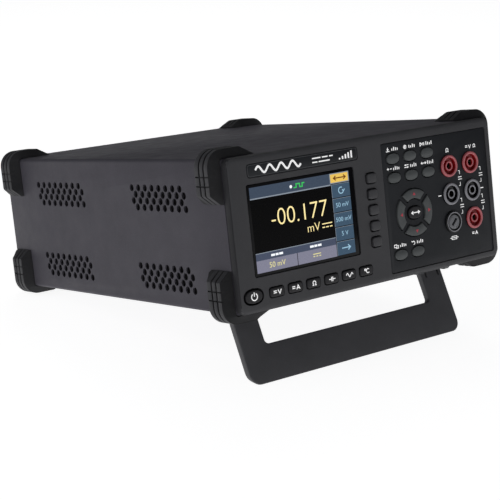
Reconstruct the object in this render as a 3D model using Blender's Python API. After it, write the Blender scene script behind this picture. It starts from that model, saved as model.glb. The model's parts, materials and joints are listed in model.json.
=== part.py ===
"""Bench multimeter: steel case, corner bumpers, plastic front, sprung keys, safety jacks, folding bail.

Dimensions are drawing units in the instrument's own frame: x to the right seen from the front, y from the
front face towards the rear, z up, with the origin in the middle of the front face. One drawing unit is
1.028 mm, which makes the instrument 235 mm wide over its bumpers. One root empty places that frame in the
world, nose up on the open bail and standing on the surface z = 0.
"""

import math

import bpy
from mathutils import Matrix, Vector

UNIT = 0.001028

# Placement
TILT = math.radians(10.0)
ROOT_BACK = -135.15
GAP = 0.3

# Case and front
CASE_W = 106.7
CASE_H = 46.0
CASE_R = 2.5
SHEET = 1.2
SEAM_Y = 4.8
CASE_BACK = 274.0
BEZEL_WALL = 3.0
SKIRT_BACK = 12.0
CAVITY_W = 103.3
CAVITY_H = 42.6

# Screen, name strip and dark control panel on the front
WINDOW = (-93.9, -12.7, -25.0, 28.9)
STRIP = (-92.2, -8.2, 33.0, 40.7)
PANEL = (11.4, 102.1, -41.7, 39.6)
PANEL_FRONT = 0.4
PANEL_BACK = 4.8

# Keys: centres across and up, half sizes
FUNCTION_X = -79.7
FUNCTION_STEP = 13.95
FUNCTION_Z = -35.8
FUNCTION_HALF = (5.1, 2.8)
SOFT_X = 0.8
SOFT_Z = 0.4
SOFT_STEP = 9.9
SOFT_HALF = (3.5, 2.9)
SOFT_ROOM = 0.8
POWER_AT = (-96.6, -35.8)
POWER_HALF = (6.1, 3.9)
OVAL_COLUMNS = (20.5, 35.0, 49.7)
OVAL_ROWS = (29.7, 17.6)
DUAL_Z = -31.1
OVAL_HALF = (5.1, 3.2)
PAD_AT = (34.7, -6.3)
PAD_OUTER = 14.9
PAD_INNER = 9.0
PAD_GAP = 1.6
CENTRE_HALF = (5.6, 3.9)
FLANGE = 1.0
FLANGE_THICK = 0.9

# Jacks and fuse holder
JACK_COLUMNS = (67.6, 86.6)
JACK_ROWS = (18.8, 0.7, -17.5)
JACK_RIM = 7.1
JACK_BODY = 5.6
JACK_BORE = 1.98

# Corner bumpers: half extents of the outer shell, leg ends, depth
BUMP_W = 114.1
BUMP_H = 51.6
BUMP_R = 11.0
BUMP_SIDE_OUT = 25.6
BUMP_SIDE_IN = 19.5
BUMP_TOP_OUT = 90.5
BUMP_TOP_IN = 82.0
BUMP_DEPTH = 22.0
BUMP_SET = 2.7
BUMP_BAND = 13.6
BUMP_FRONTS = (5.1, 251.9)
GROOVE = 0.9

# Bail and its hinge
BAIL_LEAN = math.radians(20.0)
PIVOT_Y = 41.7
PIVOT_Z = -49.1
BAIL_OUT = 87.8
BAIL_IN = 69.3
BAIL_HALF_T = 2.6
BAIL_CUT = 26.0
BAIL_R = 7.0
PIN_R = 1.05
LUG_IN = 63.6
LUG_OUT = 93.2

for leftover in list(bpy.data.objects):
    bpy.data.objects.remove(leftover, do_unlink=True)

root = bpy.data.objects.new("instrument_frame", None)
bpy.context.scene.collection.objects.link(root)
rear_foot = Vector((0.0, BUMP_FRONTS[1] + BUMP_SET + BUMP_BAND, -BUMP_H))
lift = rear_foot.y * math.sin(TILT) - rear_foot.z * math.cos(TILT)
place = Matrix.Translation((0.0, ROOT_BACK * UNIT, lift * UNIT))
root.matrix_world = place @ Matrix.Rotation(-TILT, 4, "X")


def material(name, colour, rough, metallic=0.0):
    """Principled material for one piece."""
    mat = bpy.data.materials.new(name)
    mat.use_nodes = True
    shader = mat.node_tree.nodes["Principled BSDF"]
    shader.inputs["Base Color"].default_value = (*colour, 1.0)
    shader.inputs["Roughness"].default_value = rough
    shader.inputs["Metallic"].default_value = metallic
    return mat


STEEL_PAINT = ((0.085, 0.082, 0.095), 0.45, 0.0)
BEZEL_GREY = ((0.040, 0.040, 0.045), 0.5, 0.0)
PANEL_DARK = ((0.018, 0.019, 0.022), 0.5, 0.0)
RUBBER = ((0.030, 0.030, 0.032), 0.75, 0.0)
KEY_GREY = ((0.075, 0.080, 0.082), 0.55, 0.0)
KEY_DARK = ((0.025, 0.025, 0.028), 0.55, 0.0)
GLASS = ((0.006, 0.008, 0.012), 0.08, 0.0)
RED = ((0.45, 0.015, 0.02), 0.4, 0.0)
BLACK = ((0.012, 0.012, 0.013), 0.4, 0.0)
ZINC = ((0.55, 0.56, 0.58), 0.35, 1.0)
BOARD = ((0.02, 0.16, 0.06), 0.5, 0.0)
CORE = ((0.10, 0.09, 0.08), 0.5, 0.6)


def solid(name, points, faces, look, origin=(0.0, 0.0, 0.0), angle=35.0):
    """Mesh object in the instrument's frame, its origin at `origin`, smooth up to `angle` degrees."""
    at = Vector(origin)
    mesh = bpy.data.meshes.new(name)
    mesh.from_pydata([(Vector(p) - at) * UNIT for p in points], [], faces)
    mesh.update()
    obj = bpy.data.objects.new(name, mesh)
    bpy.context.scene.collection.objects.link(obj)
    obj.parent = root
    obj.location = at * UNIT
    if look is None:
        obj.hide_render = True
        obj.display_type = "WIRE"
    else:
        mesh.materials.append(material(name, *look))
        mesh.shade_smooth()
        mesh.set_sharp_from_angle(angle=math.radians(angle))
    return obj


def volume(points, faces):
    """Six times the signed volume that the faces enclose."""
    total = 0.0
    for face in faces:
        a = Vector(points[face[0]])
        for j in range(1, len(face) - 1):
            total += a.dot(Vector(points[face[j]]).cross(Vector(points[face[j + 1]])))
    return total


def lofted(rings, closed=False):
    """Points and faces of a skin over equal rings. Ends are capped unless the loft closes on itself."""
    count = len(rings[0])
    points = [p for ring in rings for p in ring]
    faces = []
    last = len(rings) if closed else len(rings) - 1
    for i in range(last):
        low = i * count
        high = ((i + 1) % len(rings)) * count
        for j in range(count):
            k = (j + 1) % count
            faces.append((low + j, low + k, high + k, high + j))
    if not closed:
        faces.append(tuple(reversed(range(count))))
        faces.append(tuple(range((len(rings) - 1) * count, len(rings) * count)))
    if volume(points, faces) < 0:
        faces = [tuple(reversed(face)) for face in faces]
    return points, faces


def loft(name, rings, look, closed=False, origin=(0.0, 0.0, 0.0), angle=35.0):
    points, faces = lofted(rings, closed)
    return solid(name, points, faces, look, origin, angle)


def merged(shapes):
    """Several separate shapes in one mesh, as a cutter needs them."""
    points = []
    faces = []
    for shape_points, shape_faces in shapes:
        base = len(points)
        points += shape_points
        faces += [tuple(base + i for i in face) for face in shape_faces]
    return points, faces


def rounded(half_w, half_h, radius, steps=3, centre=(0.0, 0.0)):
    """Rounded rectangle as (across, up) pairs, anticlockwise."""
    outline = []
    for quarter in range(4):
        sx = (1, -1, -1, 1)[quarter]
        sz = (1, 1, -1, -1)[quarter]
        for step in range(steps):
            turn = math.radians(90.0 * (quarter + step / (steps - 1)))
            x = sx * (half_w - radius) + radius * math.cos(turn)
            z = sz * (half_h - radius) + radius * math.sin(turn)
            outline.append((centre[0] + x, centre[1] + z))
    return outline


def boxed(limits, radius, grow=0.0, steps=3):
    """Rounded rectangle from (left, right, bottom, top), grown on every side."""
    left, right, bottom, top = limits
    centre = ((left + right) / 2, (bottom + top) / 2)
    return rounded((right - left) / 2 + grow, (top - bottom) / 2 + grow, radius, steps, centre)


def oval(half_w, half_h, centre=(0.0, 0.0), count=16, power=2.3):
    """Slightly squared ellipse as (across, up) pairs."""
    outline = []
    for i in range(count):
        turn = math.tau * i / count
        c = math.cos(turn)
        s = math.sin(turn)
        x = math.copysign(abs(c) ** (2 / power), c) * half_w
        z = math.copysign(abs(s) ** (2 / power), s) * half_h
        outline.append((centre[0] + x, centre[1] + z))
    return outline


def sector(outer, inner, middle, centre, clear, steps=4):
    """Ring segment a quarter turn wide about the angle `middle`, its ends `clear` from the diagonals."""
    outline = []
    for radius, way in ((outer, 1), (inner, -1)):
        half = math.radians(45.0) - math.asin(clear / radius)
        for i in range(steps + 1):
            turn = math.radians(middle) + way * half * (2 * i / steps - 1)
            outline.append((centre[0] + radius * math.cos(turn), centre[1] + radius * math.sin(turn)))
    return outline


def at_y(outline, y):
    return [(x, y, z) for x, z in outline]


def prism(outline, y0, y1):
    return lofted([at_y(outline, y0), at_y(outline, y1)])


def cuboid(x0, x1, y0, y1, z0, z1):
    return prism([(x0, z0), (x1, z0), (x1, z1), (x0, z1)], y0, y1)


def lathe_shape(profile, centre, segments=20):
    """Solid of revolution about y through `centre`; the profile runs (radius, y) from axis to axis."""
    cx, cz = centre
    points = []
    rows = []
    for radius, y in profile:
        if radius == 0.0:
            rows.append([len(points)] * segments)
            points.append((cx, y, cz))
            continue
        rows.append(list(range(len(points), len(points) + segments)))
        for i in range(segments):
            turn = math.tau * i / segments
            points.append((cx + radius * math.cos(turn), y, cz + radius * math.sin(turn)))
    faces = []
    for low, high in zip(rows, rows[1:]):
        for j in range(segments):
            k = (j + 1) % segments
            face = []
            for index in (low[j], low[k], high[k], high[j]):
                if index not in face:
                    face.append(index)
            faces.append(tuple(face))
    if volume(points, faces) < 0:
        faces = [tuple(reversed(face)) for face in faces]
    return points, faces


def boolean(target, shapes, operation="DIFFERENCE"):
    """Cuts the shapes out of the target, or joins them to it."""
    points, faces = merged(shapes)
    tool = solid(target.name + "_" + operation.lower(), points, faces, None)
    step = target.modifiers.new(operation.title(), "BOOLEAN")
    step.operation = operation
    step.solver = "EXACT"
    step.object = tool
    return target


# ---- Case -------------------------------------------------------------------------------------------

sleeve_out = rounded(CASE_W, CASE_H, CASE_R, 4)
sleeve_in = rounded(CASE_W - SHEET, CASE_H - SHEET, CASE_R - SHEET, 4)
loft(
    "case_sleeve",
    [
        at_y(sleeve_out, SEAM_Y),
        at_y(sleeve_out, CASE_BACK),
        at_y(sleeve_in, CASE_BACK),
        at_y(sleeve_in, SEAM_Y),
    ],
    STEEL_PAINT,
    closed=True,
)

FLOOR = -CASE_H + SHEET + GAP
RIB_TOP = -36.3
TRAY_W = CASE_W - SHEET - 2.0
tray = [
    (-TRAY_W, FLOOR),
    (TRAY_W, FLOOR),
    (TRAY_W, -28.0),
    (TRAY_W - 1.2, -28.0),
    (TRAY_W - 1.2, FLOOR + 1.2),
    (72.0, FLOOR + 1.2),
    (72.0, RIB_TOP),
    (68.0, RIB_TOP),
    (68.0, FLOOR + 1.2),
    (-68.0, FLOOR + 1.2),
    (-68.0, RIB_TOP),
    (-72.0, RIB_TOP),
    (-72.0, FLOOR + 1.2),
    (-TRAY_W + 1.2, FLOOR + 1.2),
    (-TRAY_W + 1.2, -28.0),
    (-TRAY_W, -28.0),
]
loft("inner_chassis", [at_y(tray, 17.0), at_y(tray, 266.0)], ZINC)

board_top = RIB_TOP + GAP + 1.6
points, faces = cuboid(-96.0, 96.0, 26.0, 196.0, RIB_TOP + GAP, board_top)
solid("main_board", points, faces, BOARD)

coil = [(44.0, -35.0), (86.0, -35.0), (86.0, -4.0), (44.0, -4.0)]
core = [(38.0, FLOOR + 1.5), (66.5, FLOOR + 1.5), (66.5, RIB_TOP + 0.6), (73.5, RIB_TOP + 0.6)]
core += [(73.5, FLOOR + 1.5), (92.0, FLOOR + 1.5), (92.0, 2.0), (38.0, 2.0)]
transformer = loft("transformer", [at_y(core, 210.0), at_y(core, 248.0)], CORE)
boolean(transformer, [prism(coil, 202.0, 256.0)], "UNION")

# ---- Rear panel -------------------------------------------------------------------------------------

REAR_FRONT = 268.0
REAR_BACK = 270.0
INLET_AT = (-68.0, -14.0)
SWITCH_AT = (-30.0, -14.0)
SERIAL_AT = (34.0, -18.0)
rear_outline = rounded(CASE_W - SHEET - GAP, CASE_H - SHEET - GAP, 1.3, 3)
rear_rings = [at_y(rear_outline, REAR_FRONT), at_y(rear_outline, REAR_BACK)]
rear_panel = loft("rear_panel", rear_rings, STEEL_PAINT)
boolean(
    rear_panel,
    [
        prism(rounded(14.3, 10.5, 1.5, 3, INLET_AT), REAR_FRONT - 2, REAR_BACK + 2),
        prism(rounded(6.8, 9.8, 0.8, 3, SWITCH_AT), REAR_FRONT - 2, REAR_BACK + 2),
        prism(rounded(9.4, 5.2, 1.5, 3, SERIAL_AT), REAR_FRONT - 2, REAR_BACK + 2),
    ],
)

FACE = REAR_BACK + GAP
inlet_flange = rounded(17.0, 13.0, 2.0, 3, INLET_AT)
inlet_body = rounded(14.0, 10.2, 1.5, 3, INLET_AT)
inlet_hollow = rounded(12.2, 8.3, 2.5, 3, INLET_AT)
loft_rings = [
    at_y(inlet_body, 254.0),
    at_y(inlet_body, FACE),
    at_y(inlet_flange, FACE),
    at_y(inlet_flange, FACE + 2.0),
    at_y(inlet_hollow, FACE + 2.0),
    at_y(inlet_hollow, 257.0),
]
mains_inlet = loft("mains_inlet", loft_rings, BLACK)
ix, iz = INLET_AT
blades = [(ix - 7.0, iz - 1.5), (ix, iz + 1.5), (ix + 7.0, iz - 1.5)]
boolean(
    mains_inlet,
    [cuboid(x - 1.0, x + 1.0, 256.0, 266.0, z - 2.0, z + 2.0) for x, z in blades],
    "UNION",
)

switch_flange = rounded(8.0, 11.0, 1.2, 3, SWITCH_AT)
switch_body = rounded(6.5, 9.5, 0.8, 3, SWITCH_AT)
switch_hollow = rounded(5.4, 8.4, 0.6, 3, SWITCH_AT)
loft(
    "switch_frame",
    [
        at_y(switch_body, 254.0),
        at_y(switch_body, FACE),
        at_y(switch_flange, FACE),
        at_y(switch_flange, FACE + 1.6),
        at_y(switch_hollow, FACE + 1.6),
        at_y(switch_hollow, 256.0),
    ],
    BLACK,
)

# The rocker turns about a line across the switch: its ends are arcs about that line, its face a shallow V
ROCKER_Y = 266.5
ROCKER_R = 8.0
sx, sz = SWITCH_AT
side = []
for degrees in (-128, -110, -90, -60, -30):
    turn = math.radians(degrees)
    side.append((ROCKER_Y + ROCKER_R * math.cos(turn) * 0.62, sz + ROCKER_R * math.sin(turn)))
side[-1] = (FACE + 1.2, sz - 7.2)
side.append((FACE + 1.2, sz))
side.append((FACE + 3.0, sz + 7.0))
for degrees in (90, 110, 128):
    turn = math.radians(degrees)
    side.append((ROCKER_Y + ROCKER_R * math.cos(turn) * 0.62, sz + ROCKER_R * math.sin(turn)))
rocker_side = [point for point in side if point[0] < FACE + 3.5]
loft(
    "mains_rocker",
    [[(sx + dx, y, z) for y, z in rocker_side] for dx in (-5.0, 5.0)],
    BLACK,
    origin=(sx, ROCKER_Y, sz),
)

serial_body = rounded(9.1, 4.9, 1.5, 3, SERIAL_AT)
serial_flange = rounded(15.5, 6.3, 1.0, 3, SERIAL_AT)
serial_shell = rounded(8.4, 4.2, 1.8, 3, SERIAL_AT)
serial_hollow = rounded(7.9, 3.7, 1.5, 3, SERIAL_AT)
loft(
    "serial_port",
    [
        at_y(serial_body, 258.0),
        at_y(serial_body, FACE),
        at_y(serial_flange, FACE),
        at_y(serial_flange, FACE + 1.0),
        at_y(serial_shell, FACE + 1.0),
        at_y(serial_shell, FACE + 5.5),
        at_y(serial_hollow, FACE + 5.5),
        at_y(serial_hollow, FACE + 0.5),
    ],
    ZINC,
)

# ---- Front bezel ------------------------------------------------------------------------------------

bezel = loft(
    "front_bezel",
    [
        at_y(rounded(105.4, 43.7, 4.0, 4), 0.0),
        at_y(rounded(106.4, 45.2, 4.4, 4), 1.0),
        at_y(rounded(CASE_W, CASE_H, 4.6, 4), 2.6),
        at_y(rounded(CASE_W, CASE_H, 4.6, 4), SEAM_Y - GAP),
        at_y(rounded(CASE_W - SHEET - GAP, CASE_H - SHEET - GAP, 3.4, 4), SEAM_Y - GAP),
        at_y(rounded(CASE_W - SHEET - GAP, CASE_H - SHEET - GAP, 3.4, 4), SKIRT_BACK),
        at_y(rounded(CAVITY_W, CAVITY_H, 2.0, 4), SKIRT_BACK),
        at_y(rounded(CAVITY_W, CAVITY_H, 2.0, 4), BEZEL_WALL),
    ],
    BEZEL_GREY,
)
THROUGH = BEZEL_WALL + 1.0
LEDGE = (-92.4, -15.7, -23.8, 27.7)
function_centres = [(FUNCTION_X + i * FUNCTION_STEP, FUNCTION_Z) for i in range(6)]
soft_centres = [(SOFT_X, SOFT_Z + (2 - i) * SOFT_STEP) for i in range(5)]
cuts = [
    prism(boxed(WINDOW, 1.5, GAP), -1.0, 1.9),
    prism(boxed(LEDGE, 0.5), 1.5, THROUGH),
    prism(boxed(STRIP, 2.1, GAP), -1.0, 1.2),
    prism(boxed(PANEL, 1.5, GAP), -1.0, THROUGH),
    prism(oval(POWER_HALF[0] + 1.3, POWER_HALF[1] + 1.1, POWER_AT), -1.0, THROUGH),
]
for centres, half, room in ((function_centres, FUNCTION_HALF, 0.6), (soft_centres, SOFT_HALF, SOFT_ROOM)):
    for c in centres:
        cuts.append(prism(rounded(half[0] + room, half[1] + room, 1.4 + room, 3, c), -1.0, THROUGH))
recess = [cuts[0], cuts[2]]
boolean(bezel, recess)
boolean(bezel, [cuts[1]] + cuts[3:]).modifiers[-1].object.name = "front_bezel_openings"

window_outline = boxed(WINDOW, 1.2)
loft("screen_window", [at_y(window_outline, 0.5), at_y(window_outline, 1.6)], GLASS)
strip_outline = boxed(STRIP, 1.8)
loft("name_strip", [at_y(strip_outline, 0.15), at_y(strip_outline, 0.9)], PANEL_DARK)
points, faces = cuboid(-96.0, -9.0, BEZEL_WALL + GAP, 9.0, -27.0, 31.0)
solid("lcd_module", points, faces, ZINC)
mat_outline = [(-102.5, -42.0), (57.0, -42.0), (57.0, 38.0), (-7.0, 38.0), (-7.0, -29.5), (-102.5, -29.5)]
loft("key_mat", [at_y(mat_outline, 7.7), at_y(mat_outline, 8.7)], RUBBER)
points, faces = cuboid(-101.0, 58.0, 13.0, 14.6 - GAP, -37.0, 40.0)
solid("front_board", points, faces, BOARD)

# ---- Control panel ----------------------------------------------------------------------------------

panel_face = boxed(PANEL, 1.2)
panel_flange = boxed((8.4, 103.0, -42.3, 42.3), 1.2)
panel_step = BEZEL_WALL + GAP
control_panel = loft(
    "control_panel",
    [
        at_y(panel_face, PANEL_FRONT),
        at_y(panel_face, panel_step),
        at_y(panel_flange, panel_step),
        at_y(panel_flange, PANEL_BACK),
    ],
    PANEL_DARK,
)
oval_centres = [(x, z) for z in OVAL_ROWS for x in OVAL_COLUMNS]
oval_centres += [(OVAL_COLUMNS[0], DUAL_Z), (OVAL_COLUMNS[1], DUAL_Z)]
jack_centres = [(x, z) for z in JACK_ROWS for x in JACK_COLUMNS]
holes = [prism(oval(OVAL_HALF[0] + GAP, OVAL_HALF[1] + GAP, c), -1.0, 6.0) for c in oval_centres]
holes += [prism(oval(CENTRE_HALF[0] + GAP, CENTRE_HALF[1] + GAP, PAD_AT), -1.0, 6.0)]
holes += [
    prism(sector(PAD_OUTER + GAP, PAD_INNER - GAP, middle, PAD_AT, PAD_GAP - GAP), -1.0, 6.0)
    for middle in (0, 90, 180, 270)
]
jack_hole = [(0.0, -1.0), (JACK_BODY + GAP, -1.0), (JACK_BODY + GAP, 6.0), (0.0, 6.0)]
holes += [lathe_shape(jack_hole, c) for c in jack_centres]
boolean(control_panel, holes)


# ---- Keys: a cap through its opening and a flange that holds it behind the wall -----------------------


def key(name, outline, flange_outline, front, wall_back, look, dome=0.8):
    """Key whose travel axis, the line through its middle along y, is its origin."""
    cx = sum(p[0] for p in outline) / len(outline)
    cz = sum(p[1] for p in outline) / len(outline)
    crown = [(cx + (x - cx) * 0.84, cz + (z - cz) * 0.84) for x, z in outline]
    back = wall_back + GAP + FLANGE_THICK
    rings = [
        at_y(crown, front),
        at_y(outline, front + dome),
        at_y(outline, wall_back + GAP),
        at_y(flange_outline, wall_back + GAP),
        at_y(flange_outline, back),
    ]
    return loft(name, rings, look, origin=(cx, front, cz), angle=50.0)


for i, c in enumerate(function_centres):
    half_w, half_h = FUNCTION_HALF
    key(
        "function_key_" + str(i + 1),
        rounded(half_w, half_h, 1.6, 3, c),
        rounded(half_w + 0.6 + FLANGE, half_h + 0.6 + FLANGE, 2.0, 3, c),
        -0.9,
        BEZEL_WALL,
        KEY_DARK,
    )
for i, c in enumerate(soft_centres):
    half_w, half_h = SOFT_HALF
    key(
        "soft_key_" + str(i + 1),
        rounded(half_w, half_h, 1.6, 3, c),
        rounded(half_w + SOFT_ROOM + FLANGE, half_h + SOFT_ROOM + FLANGE, 2.0, 3, c),
        -1.5,
        BEZEL_WALL,
        BEZEL_GREY,
    )
half_w, half_h = POWER_HALF
key(
    "power_key",
    oval(half_w, half_h, POWER_AT),
    oval(5.8, half_h + 1.1 + 0.9, POWER_AT),
    -0.6,
    BEZEL_WALL,
    KEY_DARK,
)
OVAL_NAMES = (
    "key_save",
    "key_record",
    "key_run",
    "key_math",
    "key_utility",
    "key_port",
    "key_dual",
    "key_exit",
)
for name, c in zip(OVAL_NAMES, oval_centres):
    half_w, half_h = OVAL_HALF
    key(
        name,
        oval(half_w, half_h, c),
        oval(half_w + GAP + FLANGE, half_h + GAP + FLANGE, c),
        -1.0,
        PANEL_BACK,
        KEY_GREY,
    )
half_w, half_h = CENTRE_HALF
key(
    "key_range",
    oval(half_w, half_h, PAD_AT),
    oval(half_w + 0.9, half_h + GAP + FLANGE, PAD_AT),
    -0.9,
    PANEL_BACK,
    KEY_DARK,
)
for name, middle in (("key_right", 0), ("key_up", 90), ("key_left", 180), ("key_down", 270)):
    key(
        name,
        sector(PAD_OUTER, PAD_INNER, middle, PAD_AT, PAD_GAP),
        sector(PAD_OUTER + 0.9, PAD_INNER - 0.9, middle, PAD_AT, PAD_GAP - 0.9),
        -0.9,
        PANEL_BACK,
        KEY_GREY,
    )

# ---- Jacks and fuse holder --------------------------------------------------------------------------

SEAT = PANEL_FRONT - GAP
jack_profile = [
    (0.0, 14.0),
    (JACK_BORE, 14.0),
    (JACK_BORE, -0.5),
    (3.2, -0.5),
    (3.4, 2.2),
    (5.1, 2.2),
    (5.4, -1.2),
    (6.7, -1.2),
    (JACK_RIM, -0.8),
    (JACK_RIM, SEAT),
    (JACK_BODY, SEAT),
    (JACK_BODY, 17.0),
    (0.0, 17.0),
]
JACK_NAMES = (
    "jack_sense_high",
    "jack_input_high",
    "jack_sense_low",
    "jack_input_low",
    "fuse_holder",
    "jack_current",
)
for name, c in zip(JACK_NAMES, jack_centres):
    if name == "fuse_holder":
        continue
    points, faces = lathe_shape(jack_profile, c)
    look = BLACK if name.endswith("_low") else RED
    solid(name, points, faces, look, origin=(c[0], 0.0, c[1]), angle=40.0)

fuse_at = jack_centres[4]
SLANT = math.sqrt(0.5)
points, faces = lathe_shape(
    [
        (0.0, 5.0),
        (5.1, 5.0),
        (5.1, -1.2),
        (6.7, -1.2),
        (JACK_RIM, -0.8),
        (JACK_RIM, SEAT),
        (JACK_BODY, SEAT),
        (JACK_BODY, 24.0),
        (0.0, 24.0),
    ],
    fuse_at,
)
solid("fuse_holder", points, faces, BLACK, origin=(fuse_at[0], 0.0, fuse_at[1]), angle=40.0)
points, faces = lathe_shape([(0.0, -1.0), (4.3, -1.0), (4.8, -0.5), (4.8, 4.6), (0.0, 4.6)], fuse_at)
fuse_cap = solid("fuse_cap", points, faces, BLACK, origin=(fuse_at[0], 0.0, fuse_at[1]), angle=40.0)
slot = []
for along, aside in ((-2.8, -0.9), (2.8, -0.9), (2.8, 0.9), (-2.8, 0.9)):
    slot.append((fuse_at[0] + (along - aside) * SLANT, fuse_at[1] + (along + aside) * SLANT))
boolean(fuse_cap, [prism(slot, -2.0, 0.4)])


# ---- Corner bumpers ---------------------------------------------------------------------------------


def bumper_path(sink, thin=1.0):
    """Upper right outline of a bumper, its outer skin lowered by `sink` and its height scaled by `thin`."""
    inner_w = CASE_W + GAP
    inner_h = CASE_H + GAP
    out_w = inner_w + (BUMP_W - inner_w) * thin - sink
    out_h = inner_h + (BUMP_H - inner_h) * thin - sink
    radius = max(BUMP_R * thin - sink, 3.0)
    path = [(inner_w, BUMP_SIDE_IN), (inner_w + 0.5 * thin, BUMP_SIDE_IN)]
    path.append((out_w, BUMP_SIDE_OUT - (1.0 - thin) * 4.0))
    for step in range(6):
        turn = math.radians(18.0 * step)
        path.append((out_w - radius + radius * math.cos(turn), out_h - radius + radius * math.sin(turn)))
    path.append((BUMP_TOP_OUT - (1.0 - thin) * 6.0, out_h))
    path += [(BUMP_TOP_IN, inner_h + 0.5 * thin), (BUMP_TOP_IN, inner_h)]
    path += [(inner_w - 0.6 * CASE_R, inner_h), (inner_w, inner_h - 0.6 * CASE_R)]
    return path


def bumper(name, side, level, front):
    """Bumper at the side (-1 left, 1 right) and level (-1 bottom, 1 top), its flat face at y = front."""
    pitch = BUMP_BAND / 3
    stations = [(0.0, 0.0, 1.0)]
    for band in (1, 2):
        stations += [
            (band * pitch - 0.7, 0.0, 1.0),
            (band * pitch - 0.4, GROOVE, 1.0),
            (band * pitch + 0.4, GROOVE, 1.0),
            (band * pitch + 0.7, 0.0, 1.0),
        ]
    stations += [(BUMP_BAND, 0.0, 1.0), (BUMP_DEPTH - BUMP_SET, 0.0, 0.12)]
    rings = []
    for step, (y, sink, thin) in enumerate(stations):
        ring = []
        for x, z in bumper_path(sink, thin):
            proud = x > CASE_W + 2.0 or z > CASE_H + 2.0
            back = BUMP_SET if step or proud else 0.0
            ring.append((side * x, front + back + y, level * z))
        rings.append(ring)
    piece = loft(name, rings, RUBBER, angle=30.0)
    slots = []
    for z in (36.3, 30.8):
        x0, x1 = sorted((side * (BUMP_W - GROOVE), side * (BUMP_W + 1.0)))
        z0, z1 = sorted((level * (z - 0.4), level * (z + 0.4)))
        slots.append(cuboid(x0, x1, front + 1.0, front + BUMP_SET + BUMP_BAND - 0.4, z0, z1))
    return boolean(piece, slots)


for front, where in zip(BUMP_FRONTS, ("front", "rear")):
    for level, height in ((1, "top"), (-1, "bottom")):
        for side, hand in ((-1, "left"), (1, "right")):
            bumper("bumper_" + where + "_" + height + "_" + hand, side, level, front)

# ---- Bail and hinge lugs ----------------------------------------------------------------------------

arm = Vector((0.0, -math.sin(BAIL_LEAN), -math.cos(BAIL_LEAN)))
across = Vector((0.0, math.cos(BAIL_LEAN), -math.sin(BAIL_LEAN)))
up = Vector((0.0, -math.sin(TILT), math.cos(TILT)))
pivot = Vector((0.0, PIVOT_Y, PIVOT_Z))
pivot_height = lift + pivot.dot(up)


def foot(n):
    """Distance down the arm at which the surface is met, for a layer `n` behind the arm's middle."""
    return -(pivot_height + n * across.dot(up)) / arm.dot(up)


def bail_ring(n, shrink, top):
    """One layer of the bail, drawn in from its full outline by `shrink`, with the arm tops at `top`."""
    out_w = BAIL_OUT - shrink
    in_w = BAIL_IN + shrink
    cut = BAIL_CUT + shrink
    bottom = foot(n)
    shape = [(-out_w, top)]
    for step in range(5):
        turn = math.radians(22.5 * step)
        shape.append((-out_w + BAIL_R * (1 - math.cos(turn)), bottom - BAIL_R * (1 - math.sin(turn))))
    for x, s in list(reversed(shape)):
        shape.append((-x, s))
    inside = [(in_w, top)]
    for step in range(4):
        turn = math.radians(30.0 * step)
        inside.append((in_w - 3.0 * (1 - math.cos(turn)), cut - 3.0 * (1 - math.sin(turn))))
    for x, s in list(reversed(inside)):
        inside.append((-x, s))
    ring = []
    for x, s in shape + inside:
        ring.append(tuple(pivot + Vector((x, 0.0, 0.0)) + arm * s + across * n))
    return ring


half_t = BAIL_HALF_T
bail = loft(
    "bail",
    [
        bail_ring(-half_t, 0.8, -1.2),
        bail_ring(-half_t + 0.9, 0.0, -2.3),
        bail_ring(-half_t + 1.6, 0.0, -half_t),
        bail_ring(half_t - 1.6, 0.0, -half_t),
        bail_ring(half_t - 0.9, 0.0, -2.3),
        bail_ring(half_t, 0.8, -1.2),
    ],
    BEZEL_GREY,
    origin=tuple(pivot),
)


def rod(radius, x0, x1, segments=12):
    """Round bar along x through the pivot."""
    rings = []
    for x in (x0, x1):
        ring = []
        for i in range(segments):
            turn = math.tau * i / segments
            ring.append((x, PIVOT_Y + radius * math.cos(turn), PIVOT_Z + radius * math.sin(turn)))
        rings.append(ring)
    return lofted(rings)


def arm_slot(x):
    """Narrow slot beside the snap tongue, cut into the front of an arm just below the hinge."""
    rings = []
    for n in (-half_t - 1.0, -half_t + 1.6):
        ring = []
        for dx, s in ((-0.6, 5.6), (0.6, 5.6), (0.6, 10.0), (-0.6, 10.0)):
            ring.append(tuple(pivot + Vector((x + dx, 0.0, 0.0)) + arm * s + across * n))
        rings.append(ring)
    return lofted(rings)


arm_middle = (BAIL_OUT + BAIL_IN) / 2
slots = [arm_slot(side * arm_middle + dx) for side in (-1, 1) for dx in (-5.5, 5.5)]
boolean(bail, [rod(PIN_R + GAP, -BAIL_OUT - 5.0, BAIL_OUT + 5.0)] + slots)

for side, hand in ((-1, "left"), (1, "right")):
    top = -CASE_H - GAP
    profile = [(33.0, top), (31.4, -49.0), (32.0, -52.6), (34.2, -54.4)]
    profile += [(46.0, -54.4), (49.5, -52.4), (53.0, top)]
    rings = []
    for x, shrink in ((LUG_IN, 1.2), (LUG_IN + 1.2, 0.0), (LUG_OUT - 1.2, 0.0), (LUG_OUT, 1.2)):
        rings.append([(side * x, y, z + (shrink if z < -52.0 else 0.0)) for y, z in profile])
    lug = loft("hinge_lug_" + hand, rings, BEZEL_GREY)
    clearance = [(36.7, -40.0), (36.7, -53.2), (28.0, -53.2), (28.0, -60.0), (60.0, -60.0), (60.0, -40.0)]
    x0, x1 = sorted((side * (BAIL_IN - GAP), side * (BAIL_OUT + GAP)))
    boolean(lug, [lofted([[(x, y, z) for y, z in clearance] for x in (x0, x1)])])
    x0, x1 = sorted((side * (LUG_IN + 2.0), side * (LUG_OUT - 2.0)))
    boolean(lug, [rod(PIN_R, x0, x1)], "UNION")
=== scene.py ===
"""Looks of the bench multimeter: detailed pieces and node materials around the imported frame.

Lengths are the drawing units of the CAD (1.028 mm) in the instrument's own frame: x to the right seen from
the front, y from the front face towards the rear, z up, origin in the middle of the front face.
"""

import json
import math

import bpy
from mathutils import Matrix, Vector


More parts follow.
